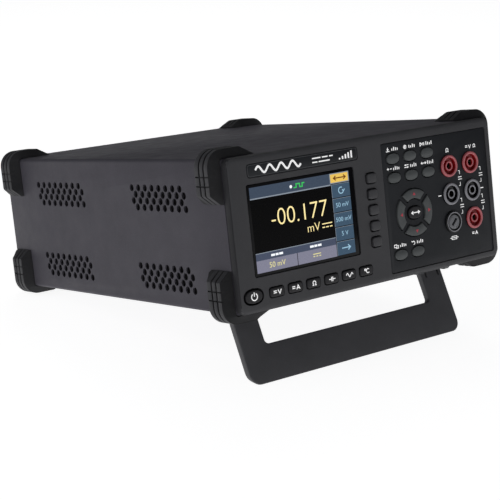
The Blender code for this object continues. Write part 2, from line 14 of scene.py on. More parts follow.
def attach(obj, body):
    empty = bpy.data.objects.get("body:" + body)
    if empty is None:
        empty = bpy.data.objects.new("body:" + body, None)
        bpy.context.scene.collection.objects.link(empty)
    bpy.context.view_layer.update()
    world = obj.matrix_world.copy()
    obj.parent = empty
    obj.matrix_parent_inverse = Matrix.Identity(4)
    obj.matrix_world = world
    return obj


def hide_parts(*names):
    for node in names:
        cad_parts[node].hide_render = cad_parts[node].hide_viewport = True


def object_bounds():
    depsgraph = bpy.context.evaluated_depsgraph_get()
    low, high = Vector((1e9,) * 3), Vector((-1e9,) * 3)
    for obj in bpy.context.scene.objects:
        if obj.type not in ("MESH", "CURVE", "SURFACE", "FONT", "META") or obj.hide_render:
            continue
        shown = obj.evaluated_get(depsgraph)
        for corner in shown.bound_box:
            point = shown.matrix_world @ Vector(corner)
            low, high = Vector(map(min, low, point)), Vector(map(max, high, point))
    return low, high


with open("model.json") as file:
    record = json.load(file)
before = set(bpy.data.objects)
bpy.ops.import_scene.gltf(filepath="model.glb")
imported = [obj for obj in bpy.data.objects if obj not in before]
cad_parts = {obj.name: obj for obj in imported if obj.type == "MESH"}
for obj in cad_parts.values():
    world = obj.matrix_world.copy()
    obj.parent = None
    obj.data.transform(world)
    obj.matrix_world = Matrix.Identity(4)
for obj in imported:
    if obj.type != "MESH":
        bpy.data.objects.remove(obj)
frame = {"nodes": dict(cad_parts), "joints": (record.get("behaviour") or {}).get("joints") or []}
cad_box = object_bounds()

UNIT = 0.001028
ROOT = "instrument"

# ---- The instrument's own frame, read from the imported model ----

joints = {joint["name"]: joint for joint in frame["joints"]}
ACROSS = Vector((1.0, 0.0, 0.0))
PRESS = Vector(joints["power_key_press"]["axis"]).normalized()
RISE = ACROSS.cross(PRESS)
TO_OWN = Matrix((ACROSS, PRESS, RISE))
TO_WORLD = TO_OWN.transposed()


def raw_limits(node):
    points = [TO_OWN @ v.co / UNIT for v in frame["nodes"][node].data.vertices]
    low = Vector([min(p[i] for p in points) for i in range(3)])
    high = Vector([max(p[i] for p in points) for i in range(3)])
    return low, high


bezel_low, bezel_high = raw_limits("front_bezel")
ORIGIN = Vector(((bezel_low.x + bezel_high.x) / 2, bezel_low.y, (bezel_low.z + bezel_high.z) / 2))


def W(x, y, z):
    """World place of a point in the instrument's frame."""
    return TO_WORLD @ (Vector((x, y, z)) + ORIGIN) * UNIT


def own(point):
    """A world point in the instrument's frame."""
    return TO_OWN @ point / UNIT - ORIGIN


def limits(node):
    """(x0, x1, y0, y1, z0, z1) of a CAD node in the instrument's frame."""
    low, high = raw_limits(node)
    low -= ORIGIN
    high -= ORIGIN
    return low.x, high.x, low.y, high.y, low.z, high.z


def middle(node):
    x0, x1, _, _, z0, z1 = limits(node)
    return (x0 + x1) / 2, (z0 + z1) / 2


# ---- Materials ----


def linear(rgb):
    """sRGB in 0..255 to linear."""
    shares = [value / 255 for value in rgb]
    return [v / 12.92 if v <= 0.04045 else ((v + 0.055) / 1.055) ** 2.4 for v in shares]


def fill(node, **values):
    """Sets inputs of a node, their names written with _ for a space."""
    for key, value in values.items():
        node.inputs[key.replace("_", " ")].default_value = value
    return node


class Nodes:
    """A material's node tree with its Principled shader and object coordinates."""

    def __init__(self, name):
        self.mat = bpy.data.materials.new(name)
        self.mat.use_nodes = True
        self.tree = self.mat.node_tree
        self.shader = self.tree.nodes["Principled BSDF"]
        self.where = self.tree.nodes.new("ShaderNodeTexCoord").outputs["Object"]

    def node(self, kind, **inputs):
        return fill(self.tree.nodes.new(kind), **inputs)

    def link(self, a, b):
        self.tree.links.new(a, b)

    def drive(self, name, value):
        self.link(value, self.shader.inputs[name])

    def noise(self, scale, detail, rough, stretch=None):
        made = self.node("ShaderNodeTexNoise", Scale=scale, Detail=detail, Roughness=rough)
        source = self.where
        if stretch:
            mapping = self.node("ShaderNodeMapping", Scale=stretch)
            self.link(source, mapping.inputs["Vector"])
            source = mapping.outputs["Vector"]
        self.link(source, made.inputs["Vector"])
        return made.outputs["Fac"]

    def spread(self, value, low, high, from_low=0.3, from_high=0.7):
        made = self.node("ShaderNodeMapRange", From_Min=from_low, From_Max=from_high, To_Min=low, To_Max=high)
        self.link(value, made.inputs["Value"])
        return made.outputs["Result"]

    def mix(self, factor, a, b):
        made = self.tree.nodes.new("ShaderNodeMix")
        made.data_type = "RGBA"
        for socket, value in ((made.inputs[6], a), (made.inputs[7], b)):
            if isinstance(value, bpy.types.NodeSocket):
                self.link(value, socket)
            else:
                socket.default_value = (*value[:3], 1.0)
        if isinstance(factor, bpy.types.NodeSocket):
            self.link(factor, made.inputs[0])
        else:
            made.inputs[0].default_value = factor
        return made.outputs[2]

    def bump(self, height, distance, strength, under=None):
        made = self.node("ShaderNodeBump", Strength=strength, Distance=distance)
        self.link(height, made.inputs["Height"])
        if under is not None:
            self.link(under, made.inputs["Normal"])
        return made.outputs["Normal"]


def surface(
    name, rgb, rough, grain=3000.0, depth=0.00004, mottle=0.10, metallic=0.0, specular=0.35,
    speckle=0.25, dust=0.0, brushed=None, emit=0.0,
):
    """Moulded, painted or metal surface: fine grain in bump and colour, broad mottling, uneven gloss."""
    n = Nodes(name)
    base = linear(rgb)
    light = [min(1.0, c * (1 + mottle) + 0.0015) for c in base]
    dark = [c * (1 - mottle) for c in base]
    broad = n.noise(38.0, 4.0, 0.6)
    fine = n.noise(grain, 2.0, 0.55, brushed)
    colour = n.mix(n.spread(broad, 0.0, 1.0), dark, light)
    grainy = [min(1.0, c * 1.5 + 0.004) for c in base]
    colour = n.mix(n.spread(fine, 0.0, speckle, 0.5, 0.75), colour, grainy)
    if dust:
        settled = n.noise(160.0, 6.0, 0.7)
        colour = n.mix(n.spread(settled, 0.0, dust, 0.52, 0.8), colour, linear((150, 148, 142)))
    n.drive("Base Color", colour)
    gloss = n.noise(90.0, 3.0, 0.6)
    n.drive("Roughness", n.spread(gloss, rough - 0.06, rough + 0.07))
    wavy = n.bump(broad, 0.00012, 0.25)
    n.drive("Normal", n.bump(fine, depth, 0.7, wavy))
    fill(n.shader, Metallic=metallic, Specular_IOR_Level=specular)
    # Emission lets a surface that is no lamp glow: painted light.
    if emit:
        n.drive("Emission Color", colour)
        fill(n.shader, Emission_Strength=emit)
    return n.mat


PAINT = surface("case_paint", (75, 73, 80), 0.52, 1700.0, 0.00006, mottle=0.05, speckle=0.30, specular=0.12)
BEZEL = surface("bezel_plastic", (60, 60, 63), 0.50, mottle=0.06)
# Darker copy of the bezel plastic for the faces of the outer lip that turn away from the front: painted
# shade.
BEZEL_LIP_SHADE = surface("bezel_lip_painted_shade", (40, 40, 43), 0.55, specular=0.2)
BAIL_PLASTIC = surface("bail_plastic", (74, 74, 77), 0.47, 2400.0, 0.00005, mottle=0.08)
PANEL_FILM = surface("panel_film", (33, 35, 39), 0.42, 3600.0, 0.00002, mottle=0.05, specular=0.2)
# The rear bumpers get a lighter copy of the same rubber: painted light.
RUBBER, RUBBER_REAR_LIT = [
    surface(name, rgb, 0.7, 1900.0, 0.00007, mottle=0.12, dust=0.03, specular=0.2)
    for name, rgb in (("bumper_rubber", (36, 36, 38)), ("bumper_rubber_rear_painted_light", (47, 47, 49)))
]
# Lighter rubber for the outward sides of the ridges: painted sheen, with a little dust.
RUBBER_RIDGE_SHEEN = surface(
    "bumper_rubber_ridge_painted_sheen", (57, 57, 60), 0.62, 1900.0, 0.00007, mottle=0.16, dust=0.05, specular=0.25
)
KEY_BLACK = surface("key_black", (38, 37, 40), 0.5, 3200.0, 0.00003, specular=0.3)
KEY_GREY = surface("key_grey", (84, 87, 88), 0.55, 3200.0, 0.00003, specular=0.25)
SOFT_PLASTIC = surface("soft_key_plastic", (62, 62, 65), 0.48, depth=0.00003)
JACK_RED = surface("jack_red", (150, 19, 25), 0.34, depth=0.00002, specular=0.45)
# Pale pink for the rolled front edges of the red sockets: painted highlight.
JACK_RED_HIGHLIGHT = surface("jack_red_rim", (190, 102, 108), 0.36, depth=0.00002, specular=0.5)
JACK_BLACK = surface("jack_black", (20, 20, 24), 0.32, depth=0.00002, specular=0.45)
# Pale grey for the rolled front edges of the black sockets and the fuse collar: painted highlight.
JACK_GREY_HIGHLIGHT = surface("jack_grey_rim", (140, 140, 146), 0.36, depth=0.00002, specular=0.5)
FUSE_GREY = surface("fuse_grey", (112, 113, 117), 0.5, 2200.0, 0.00005, mottle=0.16)
# Black plastic, also laid into the fuse cap's slot as painted shade.
BLACK_PLASTIC_AND_SLOT_SHADE = surface("inlet_black", (24, 24, 26), 0.4, 2800.0, 0.00003)
RUBBER_MAT = surface("key_mat_rubber", (62, 62, 64), 0.7, 2000.0)
BOARD = surface("circuit_board", (22, 92, 48), 0.42, 900.0, 0.00005, mottle=0.2, speckle=0.4)
CORE = surface("transformer_core", (78, 72, 66), 0.5, 1400.0, metallic=0.5, brushed=(1.0, 14.0, 1.0))
# Near-black matt sheet that stands for the shade inside the case: painted shade.
HOLE_SHADE_SHEET = surface("painted_hole_shade_sheet", (17, 17, 18), 0.9, 1100.0, 0.00010, specular=0.1)
DARK_TRAY = surface("inner_tray", (58, 58, 60), 0.5, 900.0, 0.00003, metallic=0.4)
ZINC = surface("zinc_plate", (176, 178, 182), 0.34, 700.0, 0.00003, metallic=1.0, brushed=(1.0, 1.0, 9.0))
NICKEL = surface("nickel_contact", (190, 184, 168), 0.24, 1500.0, metallic=1.0, brushed=(1.0, 8.0, 1.0))
# White print that also glows: print with painted light.
GLOWING_PRINT = surface("white_print", (232, 232, 232), 0.55, 2600.0, mottle=0.03, emit=0.5)
# Grey print, also used for the thin line round the name strip, which is a painted highlight of the strip's
# edge.
GREY_PRINT_AND_HIGHLIGHT = surface("grey_print_and_painted_highlight", (88, 89, 92), 0.55, 2600.0, mottle=0.04)
# Red print with a faint glow: print with painted light.
GLOWING_RED_PRINT = surface("red_print", (184, 56, 70), 0.5, 2600.0, mottle=0.04, emit=0.15)
GLASS = surface("screen_glass", (7, 7, 10), 0.16, 600.0, 0.000002, specular=0.12, speckle=0.1)


def lit(name, rgb, strength):
    """Liquid crystal picture element: mostly emitted light, with the faint cell pattern of the panel."""
    n = Nodes(name)
    base = linear(rgb)
    cell = n.noise(1900.0, 1.0, 0.4)
    broad = n.noise(24.0, 2.0, 0.5)
    shown = n.mix(n.spread(cell, 0.0, 1.0), [c * 0.93 for c in base], [min(1.0, c * 1.05) for c in base])
    shown = n.mix(n.spread(broad, 0.0, 0.18), shown, [min(1.0, c * 1.15 + 0.002) for c in base])
    n.drive("Base Color", n.mix(0.72, shown, (0.0, 0.0, 0.0)))
    n.drive("Emission Color", shown)
    fill(n.shader, Emission_Strength=strength, Specular_IOR_Level=0.1)
    n.drive("Roughness", n.spread(cell, 0.22, 0.3))
    return n.mat


LCD_BLACK = lit("lcd_black", (1, 1, 2), 0.2)
LCD_BAR = lit("lcd_bar", (64, 76, 93), 0.8)
LCD_LABEL = lit("lcd_label", (64, 86, 106), 0.8)
LCD_EDGE = lit("lcd_edge", (134, 143, 154), 0.9)
LCD_HEAD = lit("lcd_head", (72, 80, 100), 0.8)
LCD_VALUE = lit("lcd_value", (130, 130, 148), 0.82)
LCD_TAB = lit("lcd_tab", (232, 192, 92), 0.9)
LCD_READING = lit("lcd_reading", (252, 230, 164), 1.0)
LCD_WHITE = lit("lcd_white", (244, 248, 255), 0.95)
LCD_GREEN = lit("lcd_green", (60, 190, 92), 0.9)
LCD_BROWN = lit("lcd_brown", (112, 62, 18), 0.8)
LCD_PALE = lit("lcd_pale", (150, 188, 210), 0.9)
LCD_CREAM = lit("lcd_cream", (222, 214, 150), 0.9)

# ---- Mesh helpers ----


def outward(points, faces):
    """The points and faces, the faces turned to look outward."""
    total = 0.0
    for face in faces:
        first, *rest = [Vector(points[index]) for index in face]
        total += sum(first.dot(a.cross(b)) for a, b in zip(rest, rest[1:]))
    if total < 0:
        faces = [tuple(reversed(face)) for face in faces]
    return points, faces


def lofted(rings, closed=False):
    """Skin over equal rings, capped at both ends unless it closes on itself."""
    count = len(rings[0])
    points = [p for ring in rings for p in ring]
    faces = []
    for i in range(len(rings) if closed else len(rings) - 1):
        low = i * count
        high = ((i + 1) % len(rings)) * count
        for j in range(count):
            k = (j + 1) % count
            faces.append((low + j, low + k, high + k, high + j))
    if not closed:
        faces.append(tuple(reversed(range(count))))
        faces.append(tuple(range((len(rings) - 1) * count, len(rings) * count)))
    return outward(points, faces)


def merged(shapes):
    points = []
    faces = []
    for shape_points, shape_faces in shapes:
        base = len(points)
        points += list(shape_points)
        faces += [tuple(base + i for i in face) for face in shape_faces]
    return points, faces


def rounded(half_w, half_h, radius, steps=8, centre=(0.0, 0.0)):
    """Rounded rectangle as (across, up) pairs, anticlockwise."""
    radius = max(0.05, min(radius, half_w - 0.01, half_h - 0.01))
    outline = []
    for quarter in range(4):
        sx = (1, -1, -1, 1)[quarter]
        sz = (1, 1, -1, -1)[quarter]
        for step in range(steps):
            turn = math.radians(90.0 * (quarter + step / (steps - 1)))
            x = sx * (half_w - radius) + radius * math.cos(turn)
            z = sz * (half_h - radius) + radius * math.sin(turn)
            outline.append((centre[0] + x, centre[1] + z))
    return outline


def oval(half_w, half_h, centre, count=48, power=2.3):
    outline = []
    for i in range(count):
        turn = math.tau * i / count
        c = math.cos(turn)
        s = math.sin(turn)
        x = math.copysign(abs(c) ** (2 / power), c) * half_w
        z = math.copysign(abs(s) ** (2 / power), s) * half_h
        outline.append((centre[0] + x, centre[1] + z))
    return outline


def sector(outer, inner, middle_angle, centre, clear):
    """Ring segment a quarter turn wide about the angle, its ends `clear` from the diagonals."""
    steps = 14
    outline = []
    for radius, way in ((outer, 1), (inner, -1)):
        half = math.radians(45.0) - math.asin(clear / radius)
        for i in range(steps + 1):
            turn = math.radians(middle_angle) + way * half * (2 * i / steps - 1)
            outline.append((centre[0] + radius * math.cos(turn), centre[1] + radius * math.sin(turn)))
    return outline


def at_y(outline, y):
    return [(x, y, z) for x, z in outline]


def prism(outline, y0, y1):
    return lofted([at_y(outline, y0), at_y(outline, y1)])


def box_shape(x0, x1, y0, y1, z0, z1):
    return prism([(x0, z0), (x1, z0), (x1, z1), (x0, z1)], y0, y1)


def circle(radius, count):
    """(across, up) pairs around a circle."""
    turns = [math.tau * i / count for i in range(count)]
    return [(radius * math.cos(turn), radius * math.sin(turn)) for turn in turns]


def lathe(profile, centre, segments=64):
    """Solid of revolution about y through `centre`; the profile runs (radius, y) from axis to axis."""
    cx, cz = centre
    points = []
    rows = []
    for radius, y in profile:
        count = segments if radius else 1
        rows.append([len(points) + i % count for i in range(segments)])
        points += [(cx + a, y, cz + b) for a, b in circle(radius, count)]
    faces = []
    for low, high in zip(rows, rows[1:]):
        for j in range(segments):
            k = (j + 1) % segments
            faces.append(tuple(dict.fromkeys((low[j], low[k], high[k], high[j]))))
    return outward(points, faces)


def add_object(name, data):
    obj = bpy.data.objects.new(name, data)
    bpy.context.scene.collection.objects.link(obj)
    return obj


def mesh_object(name, shape):
    points, faces = shape
    mesh = bpy.data.meshes.new(name)
    mesh.from_pydata([W(*p) for p in points], [], faces)
    mesh.update()
    return add_object(name, mesh)


def finished_mesh(obj):
    """Copy of the object's mesh with its modifiers, or its font, worked out."""
    return bpy.data.meshes.new_from_object(obj.evaluated_get(bpy.context.evaluated_depsgraph_get()))


def cut(obj, shapes):
    """Takes the shapes, which don't overlap each other, out of the object at once."""
    tool = mesh_object(obj.name + "_tool", merged(shapes))
    step = obj.modifiers.new("cut", "BOOLEAN")
    step.operation = "DIFFERENCE"
    step.solver = "EXACT"
    step.object = tool
    made = finished_mesh(obj)
    obj.modifiers.clear()
    obj.data = made
    bpy.data.objects.remove(tool, do_unlink=True)


def soften(obj, width, angle, segments=2):
    """Small round on every edge sharper than the angle, with the normals of the large faces kept."""
    step = obj.modifiers.new("edge_round", "BEVEL")
    step.width = width * UNIT
    step.segments = segments
    step.limit_method = "ANGLE"
    step.angle_limit = math.radians(angle)
    step.harden_normals = True
    obj.data.shade_smooth()


def dress(obj, mats, stands_for=None, body=ROOT, angle=35.0, smooth=True):
    """Material, shading and body of a finished mesh, with the CAD part it stands for hidden."""
    obj.data.materials.clear()
    for mat in mats if isinstance(mats, list) else [mats]:
        obj.data.materials.append(mat)
    if smooth and not obj.modifiers:
        obj.data.shade_smooth()
        obj.data.set_sharp_from_angle(angle=math.radians(angle))
    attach(obj, body)
    if stands_for:
        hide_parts(stands_for)


def flat_piece(name, shapes, mat, body=ROOT):
    """Shapes in one piece without smooth shading: print, picture elements and plain blocks."""
    dress(mesh_object(name, merged(shapes)), mat, body=body, smooth=False)


def ribbon(points, width, closed):
    """Flat mitred line along (across, up) points, as left and right edges."""
    count = len(points)
    left = []
    right = []
    for i, point in enumerate(points):
        here = Vector(point)
        ways = []
        if closed or i:
            ways.append((here - Vector(points[i - 1])).normalized())
        if closed or i < count - 1:
            ways.append((Vector(points[(i + 1) % count]) - here).normalized())
        sides = [Vector((-way.y, way.x)) for way in ways]
        mitre = (sides[0] + sides[-1]).normalized()
        reach = min(2.0, 1 / max(0.3, mitre.dot(sides[0]))) * width / 2
        left.append(here + mitre * reach)
        right.append(here - mitre * reach)
    return left, right


def stroke(points, width, y, closed=False, thick=0.05):
    """Printed line as a thin closed solid lying on the face at y."""
    rings = []
    for a, b in zip(*ribbon(points, width, closed)):
        low, high = y - thick, y + thick
        rings.append([(a.x, low, a.y), (b.x, low, b.y), (b.x, high, b.y), (a.x, high, a.y)])
    return lofted(rings, closed)


def arc(cx, cz, radius, start, end, steps):
    turns = [math.radians(start + (end - start) * i / steps) for i in range(steps + 1)]
    return [(cx + radius * math.cos(turn), cz + radius * math.sin(turn)) for turn in turns]


def bar(x0, x1, z):
    return [(x0, z), (x1, z)]


def post(x, z0, z1):
    return [(x, z0), (x, z1)]


LCD_THICK = 0.03


def letters(text, size, at, y, narrow=1.0, align="CENTER", thin=0.0):
    """Numerals or a unit as thin solid shapes facing the front, level with the place `at`."""
    curve = bpy.data.curves.new("figures", "FONT")
    curve.body = text
    curve.size = size
    curve.align_x = align
    curve.align_y = "CENTER"
    curve.resolution_u = 4
    curve.extrude = LCD_THICK
    curve.offset = -thin
    holder = add_object("figures", curve)
    mesh = finished_mesh(holder)
    points = [(at[0] + v.co.x * narrow, y - v.co.z, at[1] + v.co.y) for v in mesh.vertices]
    faces = [tuple(p.vertices) for p in mesh.polygons]
    bpy.data.objects.remove(holder, do_unlink=True)
    return points, faces


# ---- Case cover with its ventilation holes ----

CASE_W = 106.7
CASE_H = 46.0
CASE_R = 2.5
SHEET = 1.2
SEAM, CASE_BACK = limits("case_sleeve")[2:4]
HOLE_R = 2.3
HOLE_ROWS = ((28.0, 0.0), (23.93, -4.0), (19.87, -0.9), (15.8, -4.9))
HOLE_ROWS_LOW = tuple((z - 49.7, shift) for z, shift in HOLE_ROWS)
HOLE_GROUPS = ((228.1, 7.94), (104.5, 7.73))
HOLES_PER_ROW = 8
# Across-places of the dark sheets inside the case sides: painted shade behind the vent holes.
HOLE_SHADE_FACES = (104.1, 105.2)


def side_hole(side, y, z):
    reach = (CASE_W - SHEET - 1.0, CASE_W + 1.0)
    return lofted([[(side * x, y + a, z + b) for a, b in circle(HOLE_R, 16)] for x in reach])


def cover_ring(inset, y):
    return at_y(rounded(CASE_W - inset, CASE_H - inset, CASE_R - inset), y)


cover_path = [(0.6, SEAM + 0.5), (0.2, SEAM + 0.65), (0.0, SEAM + 1.1), (0.0, CASE_BACK - 0.4)]
cover_path += [(0.1, CASE_BACK - 0.1), (0.35, CASE_BACK), (SHEET, CASE_BACK), (SHEET, SEAM + 0.5)]
cover = mesh_object("case_cover", lofted([cover_ring(inset, y) for inset, y in cover_path], closed=True))
holes = []
# Near-black sheets inside the case behind each field of holes: painted shade seen through the vent holes.
hole_shade_pads = []
for side in (-1, 1):
    xa, xb = sorted(side * x for x in HOLE_SHADE_FACES)
    for rows in (HOLE_ROWS, HOLE_ROWS_LOW):
        for z, shift in rows:
            for start, pitch in HOLE_GROUPS:
                holes += [side_hole(side, start - i * pitch + shift, z) for i in range(HOLES_PER_ROW)]
        for start, pitch in HOLE_GROUPS:
            back = start + HOLE_R + 2.0
            front = start - (HOLES_PER_ROW - 1) * pitch - HOLE_R - 7.0
            hole_shade_pads.append(box_shape(xa, xb, front, back, rows[-1][0] - 4.5, rows[0][0] + 4.5))
cut(cover, holes)
dress(cover, PAINT, "case_sleeve", angle=28.0)
# The sheets behind the holes: painted shade.
flat_piece("painted_hole_shade_pads", hole_shade_pads, HOLE_SHADE_SHEET)

# ---- Front bezel ----

WINDOW = (-93.9, -12.7, -25.0, 28.9)
STRIP = (-92.2, -8.2, 33.0, 40.7)
PANEL = (11.4, 102.1, -41.7, 39.6)
GAP = 0.3
BEZEL_WALL = 3.0
THROUGH = BEZEL_WALL + 1.0
BEFORE = -1.0
FUNCTION_HALF = (5.1, 2.8)
SOFT_HALF = (3.5, 2.9)
SOFT_ROOM = 0.8
POWER_HALF = (6.1, 3.9)
OVAL_HALF = (5.1, 3.2)
CENTRE_HALF = (5.6, 3.9)


def framed(area, radius, grow=0.0):
    left, right, bottom, top = area
    centre = ((left + right) / 2, (bottom + top) / 2)
    return rounded((right - left) / 2 + grow, (top - bottom) / 2 + grow, radius, 8, centre)


function_keys = ["function_key_" + str(i + 1) for i in range(6)]
soft_keys = ["soft_key_" + str(i + 1) for i in range(5)]
oval_keys = ["key_" + name for name in ("save", "record", "run", "math", "utility", "port", "dual", "exit")]
pad_keys = {"key_right": 0, "key_up": 90, "key_left": 180, "key_down": 270}

lip = [(1.3, 2.35, 0.0), (0.75, 1.85, 0.1), (0.35, 0.7, 0.5), (0.2, 0.35, 1.2), (0.0, 0.0, 2.6)]
rings = []
for in_w, in_h, y in lip + [(0.0, 0.0, SEAM - GAP)]:
    rings.append(at_y(rounded(CASE_W - in_w, CASE_H - in_h, 4.6 - in_w * 0.4, 10), y))
tongue = rounded(CASE_W - SHEET - GAP, CASE_H - SHEET - GAP, 3.4, 10)
cavity = rounded(103.3, 42.6, 2.0, 10)
rings += [at_y(tongue, SEAM - GAP), at_y(tongue, 12.0), at_y(cavity, 12.0), at_y(cavity, BEZEL_WALL)]
bezel = mesh_object("front_frame", lofted(rings))
cut(bezel, [prism(framed(WINDOW, 1.5, GAP), BEFORE, 1.9), prism(framed(STRIP, 2.1, GAP), BEFORE, 1.2)])
openings = [
    prism(framed((-92.4, -15.7, -23.8, 27.7), 0.5), 1.5, THROUGH),
    prism(framed(PANEL, 1.5, GAP), BEFORE, THROUGH),
    prism(oval(POWER_HALF[0] + 1.3, POWER_HALF[1] + 1.1, middle("power_key")), BEFORE, THROUGH),
]
for names, half, room in ((function_keys, FUNCTION_HALF, 0.6), (soft_keys, SOFT_HALF, SOFT_ROOM)):
    for name in names:
        outline = rounded(half[0] + room, half[1] + room, 1.4 + room, 6, middle(name))
        openings.append(prism(outline, BEFORE, THROUGH))
cut(bezel, openings)
soften(bezel, 0.28, 40.0)
dress(bezel, [BEZEL, BEZEL_LIP_SHADE], "front_bezel")
# Faces of the outer lip turned away from the front take the darker copy of the bezel plastic: painted shade.
for polygon in bezel.data.polygons:
    centre = own(polygon.center)
    facing = TO_OWN @ polygon.normal
    outer = abs(centre.x) > CASE_W - 1.0 or abs(centre.z) > CASE_H - 1.6
    if outer and facing.y > -0.8 and centre.y < SEAM:
        polygon.material_index = 1

# ---- Screen ----


def slab(area, radius, y0, y1):
    """Thin rounded plate with a softened front edge."""
    edge = 0.15
    rings = []
    for inset, y in ((edge, y0), (edge * 0.3, y0 + edge * 0.3), (0.0, y0 + edge), (0.0, y1)):
        rings.append(at_y(framed(area, radius, -inset), y))
    return lofted(rings)


window_front = limits("screen_window")[2]
window = mesh_object("screen_pane", slab(WINDOW, 1.2, window_front, window_front + 1.1))
dress(window, GLASS, "screen_window", angle=50.0)

LCD = (-91.8, -16.3, -23.2, 27.15)
LCD_WIDE = LCD[1] - LCD[0]
LCD_TALL = LCD[3] - LCD[2]
LAYER = 0.035


def lcd_point(u, v):
    """Place on the display from its share across and its share down."""
    return LCD[0] + u * LCD_WIDE, LCD[3] - v * LCD_TALL


def lcd_shapes(name, mat, shapes):
    flat_piece("lcd_" + name, shapes, mat)


def lcd_area(name, mat, u0, u1, v0, v1, level):
    x0, z0 = lcd_point(u0, v1)
    x1, z1 = lcd_point(u1, v0)
    front = window_front - level * LAYER
    lcd_shapes(name, mat, [box_shape(x0, x1, front, front + LAYER * 0.9, z0, z1)])


def lcd_line(points, width, y):
    return stroke(points, width, y, thick=LCD_THICK)


COLUMN = 0.805
lcd_area("ground", LCD_BLACK, 0.0, 1.0, 0.0, 1.0, 1)
lcd_area("top_bar", LCD_BAR, 0.0, COLUMN, 0.0, 0.128, 2)
lcd_area("top_rule", LCD_EDGE, 0.0, COLUMN, 0.128, 0.142, 2)
lcd_area("head_rule", LCD_EDGE, 0.0, COLUMN, 0.768, 0.776, 2)
lcd_area("head_bar", LCD_HEAD, 0.0, COLUMN, 0.776, 0.856, 2)
lcd_area("value_left", LCD_VALUE, 0.0, COLUMN * 0.5 - 0.003, 0.856, 1.0, 2)
lcd_area("value_right", LCD_VALUE, COLUMN * 0.5 + 0.003, COLUMN, 0.856, 1.0, 2)
lcd_area("tab_frame", LCD_EDGE, COLUMN - 0.006, 1.0, 0.0, 0.124, 2)
lcd_area("tab_face", LCD_TAB, COLUMN + 0.003, 0.991, 0.012, 0.112, 3)
BOX_TALL = (1.0 - 0.128) / 5
for i in range(5):
    top = 0.130 + i * BOX_TALL
    bottom = top + BOX_TALL - 0.006
    lcd_area("box_edge_" + str(i + 1), LCD_EDGE, COLUMN + 0.006, 1.0, top + 0.004, bottom, 2)
    lcd_area("box_" + str(i + 1), LCD_LABEL, COLUMN + 0.009, 1.0, top + 0.008, bottom, 3)

text_y = window_front - 2 * LAYER
at = lcd_point(0.755, 0.4)
reading = letters("-00.177", 14.6, at, text_y, narrow=0.985, align="RIGHT", thin=0.2)
lcd_shapes("reading_figures", LCD_READING, [reading])
x, z = lcd_point(0.66, 0.598)
unit_shapes = [letters("mV", 7.4, (x, z), text_y, align="RIGHT", thin=0.08)]
unit_shapes.append(lcd_line(bar(x + 1.6, x + 9.4, z + 1.0), 0.6, text_y))
for start in (1.6, 4.5, 7.4):
    unit_shapes.append(lcd_line(bar(x + start, x + start + 2.0, z - 1.1), 0.6, text_y))
lcd_shapes("reading_unit", LCD_READING, unit_shapes)

top_y = window_front - 3 * LAYER
x, z = lcd_point(0.405, 0.068)
dot = prism(oval(0.95, 0.95, (x, z), 20, 2.0), top_y - LCD_THICK, top_y + LCD_THICK)
lcd_shapes("status_dot", LCD_WHITE, [dot])
PULSE = ((2.0, -0.9), (4.0, -0.9), (4.0, 1.1), (6.6, 1.1), (6.6, -0.9), (8.6, -0.9), (8.6, 1.1), (10.4, 1.1))
lcd_shapes("status_pulse", LCD_GREEN, [lcd_line([(x + a, z + b) for a, b in PULSE], 0.75, top_y)])

head_shapes = []
for u in (0.21, 0.6):
    x, z = lcd_point(u, 0.817)
    for shift, half in ((-3.4, 1.4), (-0.4, 1.1), (2.6, 1.4)):
        head_shapes.append(lcd_line(bar(x + shift - half, x + shift + half, z), 1.3, top_y))
lcd_shapes("head_marks", LCD_WHITE, head_shapes)
x, z = lcd_point(0.6, 0.93)
direct = [bar(x - 3.0, x + 3.0, z + 0.8)]
direct += [bar(x - 3.0 + i * 2.3, x - 1.6 + i * 2.3, z - 0.6) for i in range(3)]
value_shapes = [letters("50 mV", 4.6, lcd_point(0.2, 0.93), top_y)]
value_shapes += [lcd_line(points, 0.55, top_y) for points in direct]
lcd_shapes("value_marks", LCD_CREAM, value_shapes)

box_y = window_front - 4 * LAYER
x, z = lcd_point((COLUMN + 1.0) / 2, 0.062)
tab = [bar(x - 4.6, x + 4.6, z)]
for way in (-1, 1):
    tab.append([(x + way * 3.0, z + 1.3), (x + way * 4.7, z), (x + way * 3.0, z - 1.3)])
lcd_shapes("tab_mark", LCD_BROWN, [lcd_line(points, 0.7, box_y) for points in tab])
label_shapes = []
for i, text in enumerate(("", "50 mV", "500 mV", "5 V", "")):
    x, z = lcd_point((COLUMN + 1.0) / 2 + 0.004, 0.130 + (i + 0.5) * BOX_TALL)
    if text:
        label_shapes.append(letters(text, 3.9, (x, z), box_y))
    elif i == 0:
        tick = [(x + 0.9, z + 0.3), (x + 1.95, z - 0.5), (x + 2.9, z + 0.5)]
        label_shapes += [lcd_line(points, 0.6, box_y) for points in (arc(x, z, 1.9, 60, 360, 18), tick)]
    else:
        head = [(x + 1.4, z + 1.6), (x + 3.3, z), (x + 1.4, z - 1.6)]
        label_shapes += [lcd_line(points, 0.65, box_y) for points in (bar(x - 3.4, x + 3.0, z), head)]
lcd_shapes("label_marks", LCD_PALE, label_shapes)

# ---- Name strip, left without a name ----

strip_front = limits("name_strip")[2]
strip = mesh_object("strip_plate", slab(STRIP, 1.8, strip_front, strip_front + 0.75))
dress(strip, PANEL_FILM, "name_strip", angle=50.0)
